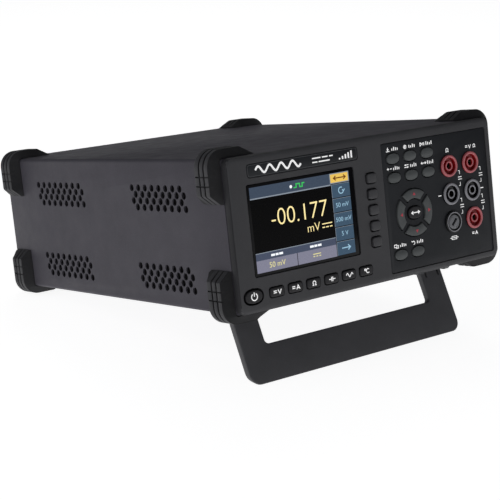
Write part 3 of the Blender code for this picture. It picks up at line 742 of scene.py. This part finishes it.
# Thin pale line round the name strip: painted highlight of its edge.
strip_edge_highlight = stroke(framed(STRIP, 1.5, -0.55), 0.22, strip_front, closed=True)
flat_piece("strip_edge_painted_highlight", [strip_edge_highlight], GREY_PRINT_AND_HIGHLIGHT)
strip_z = (STRIP[2] + STRIP[3]) / 2
wave = [(-86.0 + i * 0.75, strip_z + 2.0 * math.sin(math.tau * i * 0.75 / 8.5)) for i in range(46)]
marks = [stroke(wave, 1.25, strip_front)]
STRIP_BARS = ((-43.5, -37.0, 1.15), (-35.8, -31.4, 1.15), (-30.2, -27.4, 1.15))
STRIP_BARS += ((-43.5, -39.6, -1.25), (-38.6, -30.0, -1.25))
marks += [stroke(bar(a, b, strip_z + row), 0.75, strip_front) for a, b, row in STRIP_BARS]
for i in range(5):
    tall = 0.5 + 0.42 * i
    marks.append(stroke(post(-22.2 + i * 2.35, strip_z - 2.1, strip_z - 2.1 + 2 * tall), 1.15, strip_front))
flat_piece("strip_marks", marks, GLOWING_PRINT)

# ---- Control panel ----

panel_front, panel_back = limits("control_panel")[2:4]
pad_at = middle("key_range")
JACKS = ["jack_" + name for name in ("sense_high", "input_high", "sense_low", "input_low", "current")]
SOCKETS = JACKS + ["fuse_holder"]
PANEL_FLANGE = (8.4, 103.0, -42.3, 42.3)
KEY_ROOM = 0.6


def pad_outline(angle, inset):
    """Outline of a direction key, drawn in all round by `inset`."""
    return sector(14.9 - inset, 9.0 + inset, angle, pad_at, 1.6 + inset)


panel_rings = [at_y(framed(PANEL, 1.2, -0.25), panel_front)]
panel_rings.append(at_y(framed(PANEL, 1.2, -0.07), panel_front + 0.07))
panel_rings += [at_y(framed(PANEL, 1.2), y) for y in (panel_front + 0.25, BEZEL_WALL + GAP)]
panel_rings += [at_y(framed(PANEL_FLANGE, 1.2), y) for y in (BEZEL_WALL + GAP, panel_back)]
panel = mesh_object("panel_plate", lofted(panel_rings))
outlines = [oval(OVAL_HALF[0] + KEY_ROOM, OVAL_HALF[1] + KEY_ROOM, middle(name), 40) for name in oval_keys]
outlines.append(oval(CENTRE_HALF[0] + KEY_ROOM, CENTRE_HALF[1] + KEY_ROOM, pad_at))
outlines += [pad_outline(angle, -KEY_ROOM) for angle in pad_keys.values()]
outlines += [oval(5.9, 5.9, middle(name), 40, 2.0) for name in SOCKETS]
cut(panel, [prism(outline, BEFORE, 6.0) for outline in outlines])
soften(panel, 0.16, 40.0)
dress(panel, PANEL_FILM, "control_panel")

# ---- Keys ----


def key_cap(name, outline_at, half, mat, dome, edge, flange):
    """Key with a crowned face, round edge, straight skirt and the flange that holds it in."""
    front, back = limits(name)[2:4]
    profile = []
    for t in (0.97, 0.8, 0.6, 0.4, 0.2, 0.0):
        profile.append((edge + t * (half - edge), front + dome * (1 - t) ** 2))
    for step in range(1, 6):
        turn = math.radians(18.0 * step)
        profile.append((edge - edge * math.sin(turn), front + dome + edge - edge * math.cos(turn)))
    profile += [(0.0, back - 0.95), (-flange, back - 0.9), (-flange, back)]
    cap = mesh_object("cap_" + name, lofted([at_y(outline_at(inset), y) for inset, y in profile]))
    dress(cap, mat, name, name, angle=60.0)


def rounded_key(name, half, mat, dome, edge, flange):
    def outline_at(inset):
        return rounded(half[0] - inset, half[1] - inset, 1.6 - inset * 0.9, 7, at)

    at = middle(name)
    key_cap(name, outline_at, half[1], mat, dome, edge, flange)


def oval_key(name, half, mat, dome, flange):
    def outline_at(inset):
        return oval(half[0] - inset, half[1] - inset, at)

    at = middle(name)
    key_cap(name, outline_at, half[1], mat, dome, 0.55, flange)


def direction_key(name, angle):
    key_cap(name, lambda inset: pad_outline(angle, inset), 2.8, KEY_GREY, 0.3, 0.5, 0.8)


for name in function_keys:
    rounded_key(name, FUNCTION_HALF, KEY_BLACK, 0.08, 0.7, 1.1)
for name in soft_keys:
    rounded_key(name, SOFT_HALF, SOFT_PLASTIC, 0.15, 0.5, 1.6)
oval_key("power_key", POWER_HALF, KEY_BLACK, 0.08, 0.0)
for name in oval_keys:
    oval_key(name, OVAL_HALF, KEY_GREY, 0.55, 1.0)
oval_key("key_range", CENTRE_HALF, KEY_BLACK, 0.08, 0.8)
for name, angle in pad_keys.items():
    direction_key(name, angle)

# ---- Marks on the keys ----

DIRECT = [bar(-2.9, -0.7, 0.7), bar(-2.9, -0.7, -0.3)]
SIGNS = {
    "volts": DIRECT + [[(0.3, 1.2), (1.5, -1.2), (2.7, 1.2)]],
    "amps": DIRECT + [[(0.3, -1.2), (1.5, 1.2), (2.7, -1.2)], bar(0.9, 2.1, -0.4)],
    "ohms": [bar(-1.5, -0.6, -1.2) + arc(0.0, 0.15, 1.1, 232, -52, 12) + bar(0.6, 1.5, -1.2)],
    "farads": [bar(-2.4, -0.45, 0.0), post(-0.45, 1.3, -1.3), post(0.45, 1.3, -1.3), bar(0.45, 2.4, 0.0)],
    "hertz": [[(-2.6 + 5.2 * i / 22, 1.1 * math.sin(math.tau * 1.5 * i / 22)) for i in range(23)]],
    "degrees": [arc(-1.3, 0.8, 0.5, 0, 350, 12), arc(0.8, 0.0, 1.25, 45, 315, 12)],
    "save": [post(0.0, 1.5, -0.5), [(-0.8, 0.3), (0.0, -0.6), (0.8, 0.3)], bar(-1.6, 1.6, -1.3)],
    "record": [arc(0.0, 0.0, 1.2, 0, 350, 18), arc(0.0, 0.0, 0.35, 0, 350, 8)],
    "run": [[(-1.9, 1.2), (-1.9, -1.2), (-0.1, 0.0), (-1.9, 1.2)]]
    + [post(x, 1.1, -1.1) for x in (0.9, 1.9)],
    "math": [bar(-2.2, -0.4, 0.0), post(-1.3, 0.9, -0.9), bar(0.5, 2.3, 0.0)],
    "utility": [bar(-2.0, 2.0, 0.8), bar(-2.0, 2.0, -0.8), post(-0.8, 1.4, 0.2), post(0.9, -0.2, -1.4)],
    "port": [bar(-2.2, 2.2, 0.0)] + [[(a, 0.8), (b, 0.0), (a, -0.8)] for a, b in ((-1.4, -2.3), (1.4, 2.3))],
    "dual": [
        [(-1.8, 1.1), (0.4, 1.1), (0.4, -0.7), (-1.8, -0.7), (-1.8, 1.1)],
        [(0.9, 0.4), (1.9, 0.4), (1.9, -1.4), (-0.4, -1.4)],
    ],
    "exit": [arc(0.2, -0.2, 1.2, -90, 140, 14), [(-1.6, 1.3), (-0.8, 0.5), (0.2, 1.1)]],
}
MARK_LIFT = 0.01


def sign(kind, at, y, scale, width):
    shapes = []
    for points in SIGNS[kind]:
        placed = [(at[0] + px * scale, at[1] + pz * scale) for px, pz in points]
        kept = [placed[0]]
        for point in placed[1:]:
            if (Vector(point) - Vector(kept[-1])).length > 0.02:
                kept.append(point)
        shapes.append(stroke(kept, width, y))
    return shapes


def dark_key_mark(name, lines):
    y = limits(name)[2] - MARK_LIFT
    flat_piece("mark_" + name, [stroke(points, 0.65, y) for points in lines], GLOWING_PRINT, name)


for name, kind in zip(function_keys, ("volts", "amps", "ohms", "farads", "hertz", "degrees")):
    shapes = sign(kind, middle(name), limits(name)[2] - MARK_LIFT, 1.02, 0.58)
    flat_piece("mark_" + name, shapes, GLOWING_PRINT, name)

x, z = middle("power_key")
dark_key_mark("power_key", [arc(x, z, 2.1, 125, 415, 24), post(x, z + 0.2, z + 2.6)])

x, z = pad_at
centre_lines = [bar(x - 3.2, x + 3.2, z)]
for way in (-1, 1):
    centre_lines.append([(x + way * 2.1, z + 1.0), (x + way * 3.4, z), (x + way * 2.1, z - 1.0)])
dark_key_mark("key_range", centre_lines)

for name, angle in pad_keys.items():
    turn = math.radians(angle)
    out = Vector((math.cos(turn), math.sin(turn)))
    beside = Vector((-out.y, out.x)) * 1.15
    foot = Vector(pad_at) + out * 11.0
    corners = [tuple(Vector(pad_at) + out * 12.9), tuple(foot + beside), tuple(foot - beside)]
    y = limits(name)[2]
    flat_piece("mark_" + name, [prism(corners, y - 0.03, y + 0.12)], GLOWING_RED_PRINT, name)

# ---- Marks on the panel ----

panel_marks = []


def panel_line(points, width):
    panel_marks.append(stroke(points, width, panel_front))


def panel_sign(kind, x, z, scale=0.9, width=0.5):
    panel_marks.extend(sign(kind, (x, z), panel_front, scale, width))


SIGN_GAP = 10.2
MINUS_GAP = 9.6
PAIR_SIDE = 9.4
PAIR_GAP = 4.2
for index, name in enumerate(oval_keys):
    x, z = middle(name)
    label_z = z + OVAL_HALF[1] + 2.7
    panel_sign(name[4:], x - 3.4, label_z)
    for step in range(4):
        tall = 0.7 + 0.22 * ((index + 2 * step) % 3)
        panel_line(post(x + 0.1 + step * 1.5, label_z - 1.0, label_z - 1.0 + 2 * tall), 0.7)
for name, kind in (("jack_sense_high", "ohms"), ("jack_input_high", "volts")):
    x, z = middle(name)
    panel_sign(kind, x, z + SIGN_GAP)
panel_sign("ohms", x + 5.4, z + SIGN_GAP, 0.8, 0.45)
for name, shift in (("jack_sense_low", -MINUS_GAP), ("jack_input_low", MINUS_GAP)):
    x, z = middle(name)
    panel_line(bar(x + shift - 1.3, x + shift + 1.3, z), 0.6)
x, z = middle("jack_current")
panel_sign("amps", x, z - SIGN_GAP)
x, z = middle("fuse_holder")
panel_line(bar(x - 3.6, x + 3.6, z - 10.4), 0.4)
FUSE_BOX = ((-2.2, -9.4), (2.2, -9.4), (2.2, -11.4), (-2.2, -11.4), (-2.2, -9.4))
panel_line([(x + a, z + b) for a, b in FUSE_BOX], 0.4)
rows = sorted({round(middle(name)[1], 1) for name in SOCKETS}, reverse=True)
for jack in ("jack_sense_high", "jack_input_high"):
    column = middle(jack)[0] + PAIR_SIDE
    for upper, lower in zip(rows, rows[1:]):
        z_high = upper - PAIR_GAP
        z_low = lower + PAIR_GAP
        half = (z_high - z_low) / 2 - 2.6
        for start, end in ((z_high, z_high - half), (z_low, z_low + half)):
            panel_line([(column - 1.2, start), (column, start), (column, end)], 0.38)
        centre = (z_high + z_low) / 2
        for shift in (0.75, -0.75):
            panel_line(bar(column - 1.6, column + 1.6, centre + shift), 0.5)
flat_piece("panel_marks", panel_marks, GLOWING_PRINT)

# ---- Jacks and fuse holder ----

SEAT = panel_front - GAP
BORE = 1.98
SEGMENTS = 64
CONTACT_ROWS = (0, 1)
# Rings of the rolled front edges, inner and outer, that are painted pale: painted highlight.
HIGHLIGHT_ROWS = (*range(4, 7), *range(13, 19))
COLLAR_HIGHLIGHT_ROWS = (5,)


def rim_profile(floor_y, back):
    """Inner wall, rolled front edge and body of a socket."""
    rim = [(5.1, floor_y), (5.25, floor_y - 0.1), (5.35, -0.6), (5.5, -1.05), (5.8, -1.2), (6.4, -1.2)]
    rim += [(6.8, -1.05), (7.03, -0.75), (7.1, -0.4), (7.1, SEAT), (5.6, SEAT), (5.6, back), (0.0, back)]
    return rim


def paint_rows(piece, rows, material_index):
    """Another of its materials for some rings of a turned piece."""
    for index, polygon in enumerate(piece.data.polygons):
        if index // SEGMENTS in rows:
            polygon.material_index = material_index


jack_profile = [(0.0, 14.0), (BORE, 14.0), (BORE, 1.0), (BORE, -0.15), (2.1, -0.38), (2.35, -0.5)]
jack_profile += [(2.85, -0.5), (3.1, -0.38), (3.2, -0.1), (3.35, 1.9), (3.5, 2.2)] + rim_profile(2.2, 17.0)
for name in JACKS:
    piece = mesh_object("socket_" + name, lathe(jack_profile, middle(name), SEGMENTS))
    if name.endswith("low"):
        dress(piece, [JACK_BLACK, JACK_GREY_HIGHLIGHT, NICKEL], name, angle=50.0)
    else:
        dress(piece, [JACK_RED, JACK_RED_HIGHLIGHT, NICKEL], name, angle=50.0)
    # Pale rings on the rolled edges: painted highlight.
    paint_rows(piece, HIGHLIGHT_ROWS, 1)
    paint_rows(piece, CONTACT_ROWS, 2)

fuse_at = middle("fuse_holder")
holder = mesh_object("fuse_collar", lathe([(0.0, 5.0)] + rim_profile(5.0, 24.0), fuse_at, SEGMENTS))
dress(holder, [BLACK_PLASTIC_AND_SLOT_SHADE, JACK_GREY_HIGHLIGHT], "fuse_holder", angle=50.0)
# Pale ring on the collar's front: painted highlight.
paint_rows(holder, COLLAR_HIGHLIGHT_ROWS, 1)
cap_profile = [(0.0, -1.0), (3.9, -1.0), (4.4, -0.9), (4.7, -0.6), (4.8, -0.2), (4.8, 4.6), (0.0, 4.6)]
fuse_cap = mesh_object("fuse_plug", lathe(cap_profile, fuse_at))
slot_turn = math.radians(45.0)
along = Vector((math.cos(slot_turn), math.sin(slot_turn)))
aside = Vector((-along.y, along.x))
corners = []
for a, b in ((-2.8, -0.9), (2.8, -0.9), (2.8, 0.9), (-2.8, 0.9)):
    corners.append(tuple(Vector(fuse_at) + along * a + aside * b))
cut(fuse_cap, [prism(corners, -2.0, 0.5)])
dress(fuse_cap, [FUSE_GREY, BLACK_PLASTIC_AND_SLOT_SHADE], "fuse_cap", "fuse_cap", angle=40.0)
# Walls and floor of the screwdriver slot take the black plastic: painted shade in the slot.
for polygon in fuse_cap.data.polygons:
    centre = own(polygon.center)
    if centre.y > -0.85 and math.hypot(centre.x - fuse_at[0], centre.z - fuse_at[1]) < 3.2:
        polygon.material_index = 1
arrows = [stroke(arc(*fuse_at, 3.7, turn - 26, turn + 26, 10), 0.3, -1.0) for turn in (-45, 135)]
flat_piece("mark_fuse_cap", arrows, GREY_PRINT_AND_HIGHLIGHT, "fuse_cap")

# ---- Corner bumpers ----

BUMP_W = 114.1
BUMP_H = 51.6
BUMP_R = 11.0
SIDE_OUT = 25.6
SIDE_IN = 19.5
TOP_OUT = 90.5
TOP_IN = 82.0
BUMP_SET = 2.7
BUMP_BAND = 13.6
BUMP_DEPTH = 22.0
GROOVE = 0.9


def bumper_outline(sink, thin):
    """Outer skin of the upper right bumper, then its inner faces against the case."""
    inner_w = CASE_W + GAP
    inner_h = CASE_H + GAP
    out_w = inner_w + (BUMP_W - inner_w) * thin - sink
    out_h = inner_h + (BUMP_H - inner_h) * thin - sink
    radius = max(BUMP_R * thin - sink, 3.0)
    path = [(inner_w, SIDE_IN), (inner_w + 0.5 * thin, SIDE_IN)]
    low = SIDE_OUT - (1.0 - thin) * 4.0
    path += [(inner_w + 0.5 * thin + (out_w - inner_w) * 0.82, low - 1.1), (out_w - 0.12 * thin, low - 0.35)]
    path += [(out_w, low + 0.5), (out_w, 30.2), (out_w, 31.4), (out_w, 35.7), (out_w, 36.9)]
    for step in range(13):
        turn = math.radians(7.5 * step)
        path.append((out_w - radius + radius * math.cos(turn), out_h - radius + radius * math.sin(turn)))
    side_top = TOP_OUT - (1.0 - thin) * 6.0
    path += [(side_top + 0.6, out_h), (side_top - 0.3, out_h - 0.12 * thin), (TOP_IN, inner_h + 0.5 * thin)]
    path += [(TOP_IN, inner_h), (inner_w - 0.6 * CASE_R, inner_h), (inner_w, inner_h - 0.6 * CASE_R)]
    return path


def bumper_stations():
    """(distance behind the band's front, how far the skin is sunk, height share) along the depth."""
    pitch = BUMP_BAND / 3
    rows = [(-0.25, 0.5, 1.0), (-0.08, 0.18, 1.0), (0.25, 0.0, 1.0)]
    for band in (1, 2):
        middle_y = band * pitch
        rows += [(middle_y - 0.95, 0.0, 1.0), (middle_y - 0.62, 0.12, 1.0), (middle_y - 0.45, GROOVE, 1.0)]
        rows += [(middle_y + 0.45, GROOVE, 1.0), (middle_y + 0.62, 0.12, 1.0), (middle_y + 0.95, 0.0, 1.0)]
    rows += [(BUMP_BAND - 0.5, 0.0, 1.0), (BUMP_BAND + 0.3, 0.12, 0.98)]
    for t in (0.35, 0.7, 1.0):
        rows.append((BUMP_BAND + t * (BUMP_DEPTH - BUMP_SET - BUMP_BAND), 0.15, 1.0 - 0.88 * t))
    return rows


def bumper(name):
    x0, _, front, _, z0, _ = limits(name)
    side = 1 if x0 > 0 else -1
    level = 1 if z0 > 0 else -1
    rings = []
    for index, (y, sink, thin) in enumerate([(0.0, 0.5, 1.0)] + bumper_stations()):
        ring = []
        for x, z in bumper_outline(sink, thin):
            if index == 0:
                x = min(x, CASE_W + GAP + 0.02)
                z = min(z, CASE_H + GAP + 0.02)
                if x > CASE_W and z > CASE_H:
                    x = CASE_W + GAP + 0.02
                    z = CASE_H + GAP - 0.6
                ring.append((side * x, front, level * z))
                continue
            away = max(0.0, min(1.0, max(x - CASE_W - GAP, z - CASE_H - GAP) / 0.6))
            depth = front + 0.05 + BUMP_SET * away + max(y, 0.0) + (0.05 if y > 0 else 0.0)
            ring.append((side * x, depth, level * z))
        rings.append(ring)
    piece = mesh_object("guard_" + name[7:], lofted(rings))
    ribs = []
    for z in (36.3, 30.8):
        xa, xb = sorted((side * (BUMP_W - GROOVE), side * (BUMP_W + 1.0)))
        za, zb = sorted((level * (z - 0.4), level * (z + 0.4)))
        ribs.append(box_shape(xa, xb, front + 1.0, front + BUMP_SET + BUMP_BAND - 0.4, za, zb))
    cut(piece, ribs)
    # Rear bumpers take the lighter copy of the rubber: painted light.
    skin = RUBBER_REAR_LIT if "rear" in name else RUBBER
    dress(piece, [skin, RUBBER_RIDGE_SHEEN], name, angle=26.0)
    # Outward faces of the two ridges take the lighter rubber: painted sheen.
    for polygon in piece.data.polygons:
        place = own(polygon.center)
        facing = TO_OWN @ polygon.normal
        along = place.y - front - BUMP_SET
        ridge = min(abs(along - band * BUMP_BAND / 3) for band in (1, 2)) > 0.7 and 0.3 < along < BUMP_BAND
        proud = abs(facing.x) < 0.95 or abs(place.x) > BUMP_W - 0.35
        if ridge and proud and abs(facing.y) < 0.4 and side * facing.x > 0.25:
            polygon.material_index = 1


for name in sorted(n for n in frame["nodes"] if n.startswith("bumper_")):
    bumper(name)

# ---- Bail and hinge lugs ----

LEAN = math.radians(20.0)
HALF_T = 2.6
BAIL_OUT = 87.8
BAIL_IN = 69.3
BAIL_CUT = 26.0
BAIL_R = 7.0
PIN_R = 1.05
pivot_world = Vector(joints["bail_fold"]["pos_m"])
pivot = own(pivot_world)
arm = Vector((0.0, -math.sin(LEAN), -math.cos(LEAN)))
thick_way = Vector((0.0, math.cos(LEAN), -math.sin(LEAN)))
world_up = TO_OWN @ Vector((0.0, 0.0, 1.0))


def bail_foot(n):
    return -(pivot_world.z / UNIT + n * thick_way.dot(world_up)) / arm.dot(world_up)


def bail_point(x, s, n):
    """Place on the bail: across, down its arms, through its thickness."""
    return tuple(pivot + Vector((x, 0.0, 0.0)) + arm * s + thick_way * n)


def bail_layer(n, shrink):
    out_w = BAIL_OUT - shrink
    in_w = BAIL_IN + shrink
    opening = BAIL_CUT + shrink
    bottom = bail_foot(n) - shrink
    top = -math.sqrt(max(0.0, HALF_T**2 - n**2)) + 0.02
    shape = [(-out_w, top), (-out_w, top + 3.0)]
    for step in range(9):
        turn = math.radians(11.25 * step)
        shape.append((-out_w + BAIL_R * (1 - math.cos(turn)), bottom - BAIL_R * (1 - math.sin(turn))))
    shape += [(-x, s) for x, s in reversed(shape)]
    inside = [(in_w, top), (in_w, top + 3.0)]
    for step in range(7):
        turn = math.radians(15.0 * step)
        inside.append((in_w - 3.0 * (1 - math.cos(turn)), opening - 3.0 * (1 - math.sin(turn))))
    inside += [(-x, s) for x, s in reversed(inside)]
    return [bail_point(x, s, n) for x, s in shape + inside]


layers = []
EDGE = 1.0
for step in range(6):
    turn = math.radians(18.0 * step)
    layers.append((-HALF_T + EDGE * (1 - math.cos(turn)), EDGE * (1 - math.sin(turn))))
layers += [(-n, shrink) for n, shrink in reversed(layers)]
bail = mesh_object("stand_bail", lofted([bail_layer(n, shrink) for n, shrink in layers]))


def arm_slot(x):
    """Slot in the front of an arm."""
    corners = ((-0.6, 5.6), (0.6, 5.6), (0.6, 10.0), (-0.6, 10.0))
    depths = (-HALF_T - 1.0, -HALF_T + 1.6)
    return lofted([[bail_point(x + dx, s, n) for dx, s in corners] for n in depths])


pin_circle = [(pivot.y + a, pivot.z + b) for a, b in circle(PIN_R + GAP, 32)]
pin_bore = lofted([[(x, y, z) for y, z in pin_circle] for x in (-BAIL_OUT - 5.0, BAIL_OUT + 5.0)])
arm_middle = (BAIL_OUT + BAIL_IN) / 2
cut(bail, [pin_bore] + [arm_slot(side * arm_middle + dx) for side in (-1, 1) for dx in (-5.5, 5.5)])
dress(bail, BAIL_PLASTIC, "bail", "bail", angle=30.0)

# ---- Pieces that keep their CAD shape ----


def keep(name, mat, width, segments=2):
    """Look and edge rounding of a CAD piece that stays as it is."""
    node = frame["nodes"][name]
    if width:
        soften(node, width, 35.0, segments)
    node.data.materials.clear()
    node.data.materials.append(mat)


for name in ("hinge_lug_left", "hinge_lug_right"):
    keep(name, BEZEL, 0.35, 3)
keep("rear_panel", PAINT, 0.12)
keep("mains_inlet", BLACK_PLASTIC_AND_SLOT_SHADE, 0.3)
keep("switch_frame", BLACK_PLASTIC_AND_SLOT_SHADE, 0.25)
keep("mains_rocker", BLACK_PLASTIC_AND_SLOT_SHADE, 0.4)
keep("serial_port", ZINC, 0.2)
for name, mat in (("inner_chassis", DARK_TRAY), ("main_board", BOARD), ("front_board", BOARD)):
    keep(name, mat, 0.0)
for name, mat in (("key_mat", RUBBER_MAT), ("lcd_module", ZINC), ("transformer", CORE)):
    keep(name, mat, 0.0)

# ---- Details of the rear and the underside ----


def turned(profile, y, centre, segments):
    """Lathed shape from (radius, height over the face at y) pairs."""
    return lathe([(radius, y + rise) for radius, rise in profile], centre, segments)


SCREW = ((0.0, 0.05), (3.0, 0.05), (3.0, 0.5), (2.7, 1.0), (2.0, 1.4), (0.9, 1.55), (0.9, 0.7), (0.0, 0.7))
SCREWS_AT = ((-98.0, 38.0), (98.0, 38.0), (-98.0, -38.0), (98.0, -38.0), (0.0, 38.0), (0.0, -38.0))
rear_back = limits("rear_panel")[3]
screws = [turned(SCREW, rear_back, at, 32) for at in SCREWS_AT]
dress(mesh_object("rear_screws", merged(screws)), ZINC)

x, z = middle("mains_rocker")
rocker_face = limits("mains_rocker")[3] - 3.0 + 1.22
rocker_marks = [stroke(arc(x, z - 3.7, 1.3, 0, 340, 20), 0.5, rocker_face, thick=0.06)]
bar_rings = []
for share in (0.3, 0.72):
    y = rocker_face + 1.8 * share
    corners = ((-0.3, -0.06), (0.3, -0.06), (0.3, 0.06), (-0.3, 0.06))
    bar_rings.append([(x + dx, y + dy, z + 7.0 * share) for dx, dy in corners])
flat_piece("mark_mains_rocker", rocker_marks + [lofted(bar_rings)], GLOWING_PRINT, "mains_rocker")

port_x, port_z = middle("serial_port")
port_face = limits("serial_port")[3] - 5.5
insert = box_shape(port_x - 7.3, port_x + 7.3, port_face + 0.55, port_face + 1.6, port_z - 3.1, port_z + 3.1)
flat_piece("serial_insert", [insert], BLACK_PLASTIC_AND_SLOT_SHADE)
PIN_PITCH = 2.7
pin_front = port_face + 1.65
pin_tip = port_face + 4.8
pin_profile = [(0.0, pin_front), (0.5, pin_front), (0.5, pin_tip - 0.25), (0.25, pin_tip), (0.0, pin_tip)]
pins = []
for count, rise in ((5, 1.35), (4, -1.35)):
    for i in range(count):
        pin_x = port_x + (i - (count - 1) / 2) * PIN_PITCH
        pins.append(lathe(pin_profile, (pin_x, port_z + rise), 12))
dress(mesh_object("serial_pins", merged(pins)), NICKEL)
NUT = ((0.0, 1.05), (2.3, 1.05), (2.3, 4.4), (2.0, 4.7), (1.1, 4.7), (1.1, 2.0), (0.0, 2.0))
nuts = [turned(NUT, port_face, (port_x + side * 12.2, port_z), 6) for side in (-1, 1)]
dress(mesh_object("serial_nuts", merged(nuts)), ZINC, angle=30.0)

case_floor = limits("case_sleeve")[4]
SCREW_RINGS = ((2.8, 0.05), (2.8, 0.5), (2.3, 0.95), (1.2, 1.1), (1.0, 0.5))
under_screws = []
for x in (-84.0, 84.0):
    for y in (124.0, 232.0):
        rings = []
        for radius, drop in SCREW_RINGS:
            rings.append([(x + a, y + b, case_floor - drop) for a, b in circle(radius, 24)])
        under_screws.append(lofted(rings))
dress(mesh_object("under_screws", merged(under_screws)), ZINC)

# ---- Stage, light and camera ----

world = bpy.data.worlds.new("studio")
bpy.context.scene.world = world
world.use_nodes = True
tree = world.node_tree
tree.nodes.clear()
WHITE = (1.0, 1.0, 1.0, 1.0)
SKY = (0.93, 0.95, 1.0, 1.0)
out = tree.nodes.new("ShaderNodeOutputWorld")
ray = tree.nodes.new("ShaderNodeLightPath")
choose = tree.nodes.new("ShaderNodeMixShader")
tree.links.new(ray.outputs["Is Camera Ray"], choose.inputs["Fac"])
for socket, colour, strength in ((1, SKY, 0.12), (2, WHITE, 1.0)):
    shade = fill(tree.nodes.new("ShaderNodeBackground"), Color=colour, Strength=strength)
    tree.links.new(shade.outputs["Background"], choose.inputs[socket])
tree.links.new(choose.outputs["Shader"], out.inputs["Surface"])

HALF_FLOOR = 4.0
FLOOR_DROP = 0.0002
floor_mesh = bpy.data.meshes.new("floor")
floor_corners = [(x * HALF_FLOOR, y * HALF_FLOOR, 0.0) for x, y in ((-1, -1), (1, -1), (1, 1), (-1, 1))]
floor_mesh.from_pydata(floor_corners, [], [(0, 1, 2, 3)])
floor = add_object("floor", floor_mesh)
floor.location.z = cad_box[0].z - FLOOR_DROP
floor_look = Nodes("floor_white")
fill(floor_look.shader, Base_Color=(0.45, 0.45, 0.45, 1.0), Roughness=0.9, Specular_IOR_Level=0.0)
fill(floor_look.shader, Emission_Color=WHITE, Emission_Strength=0.9)
floor.data.materials.append(floor_look.mat)

centre = (cad_box[0] + cad_box[1]) / 2


def aim(obj, place, way):
    obj.location = place
    obj.rotation_mode = "QUATERNION"
    obj.rotation_quaternion = way.to_track_quat("-Z", "Y")


def area_light(name, offset, size, power):
    """Square light, `offset` metres from the instrument's middle and looking at it."""
    light = bpy.data.lights.new(name, "AREA")
    light.shape = "SQUARE"
    light.size = size
    light.energy = power
    place = centre + Vector(offset)
    aim(add_object(name, light), place, centre - place)


area_light("key_left", (-1.5, 0.1, 0.7), 1.2, 4.2)
area_light("top_soft", (0.1, 0.2, 1.6), 1.4, 0.8)
area_light("front_fill", (0.3, -1.7, 0.5), 1.4, 1.5)
area_light("rear_fill", (0.9, 1.3, 1.7), 1.2, 4.5)

camera_data = bpy.data.cameras.new("camera")
camera_data.lens = 102.1
camera_data.sensor_width = 36.0
camera = add_object("camera", camera_data)
aim(camera, W(-570.5, -658.3, 106.5), TO_WORLD @ Vector((0.579, 0.803, -0.140)))
bpy.context.scene.camera = camera
bpy.context.scene.view_settings.view_transform = "Standard"
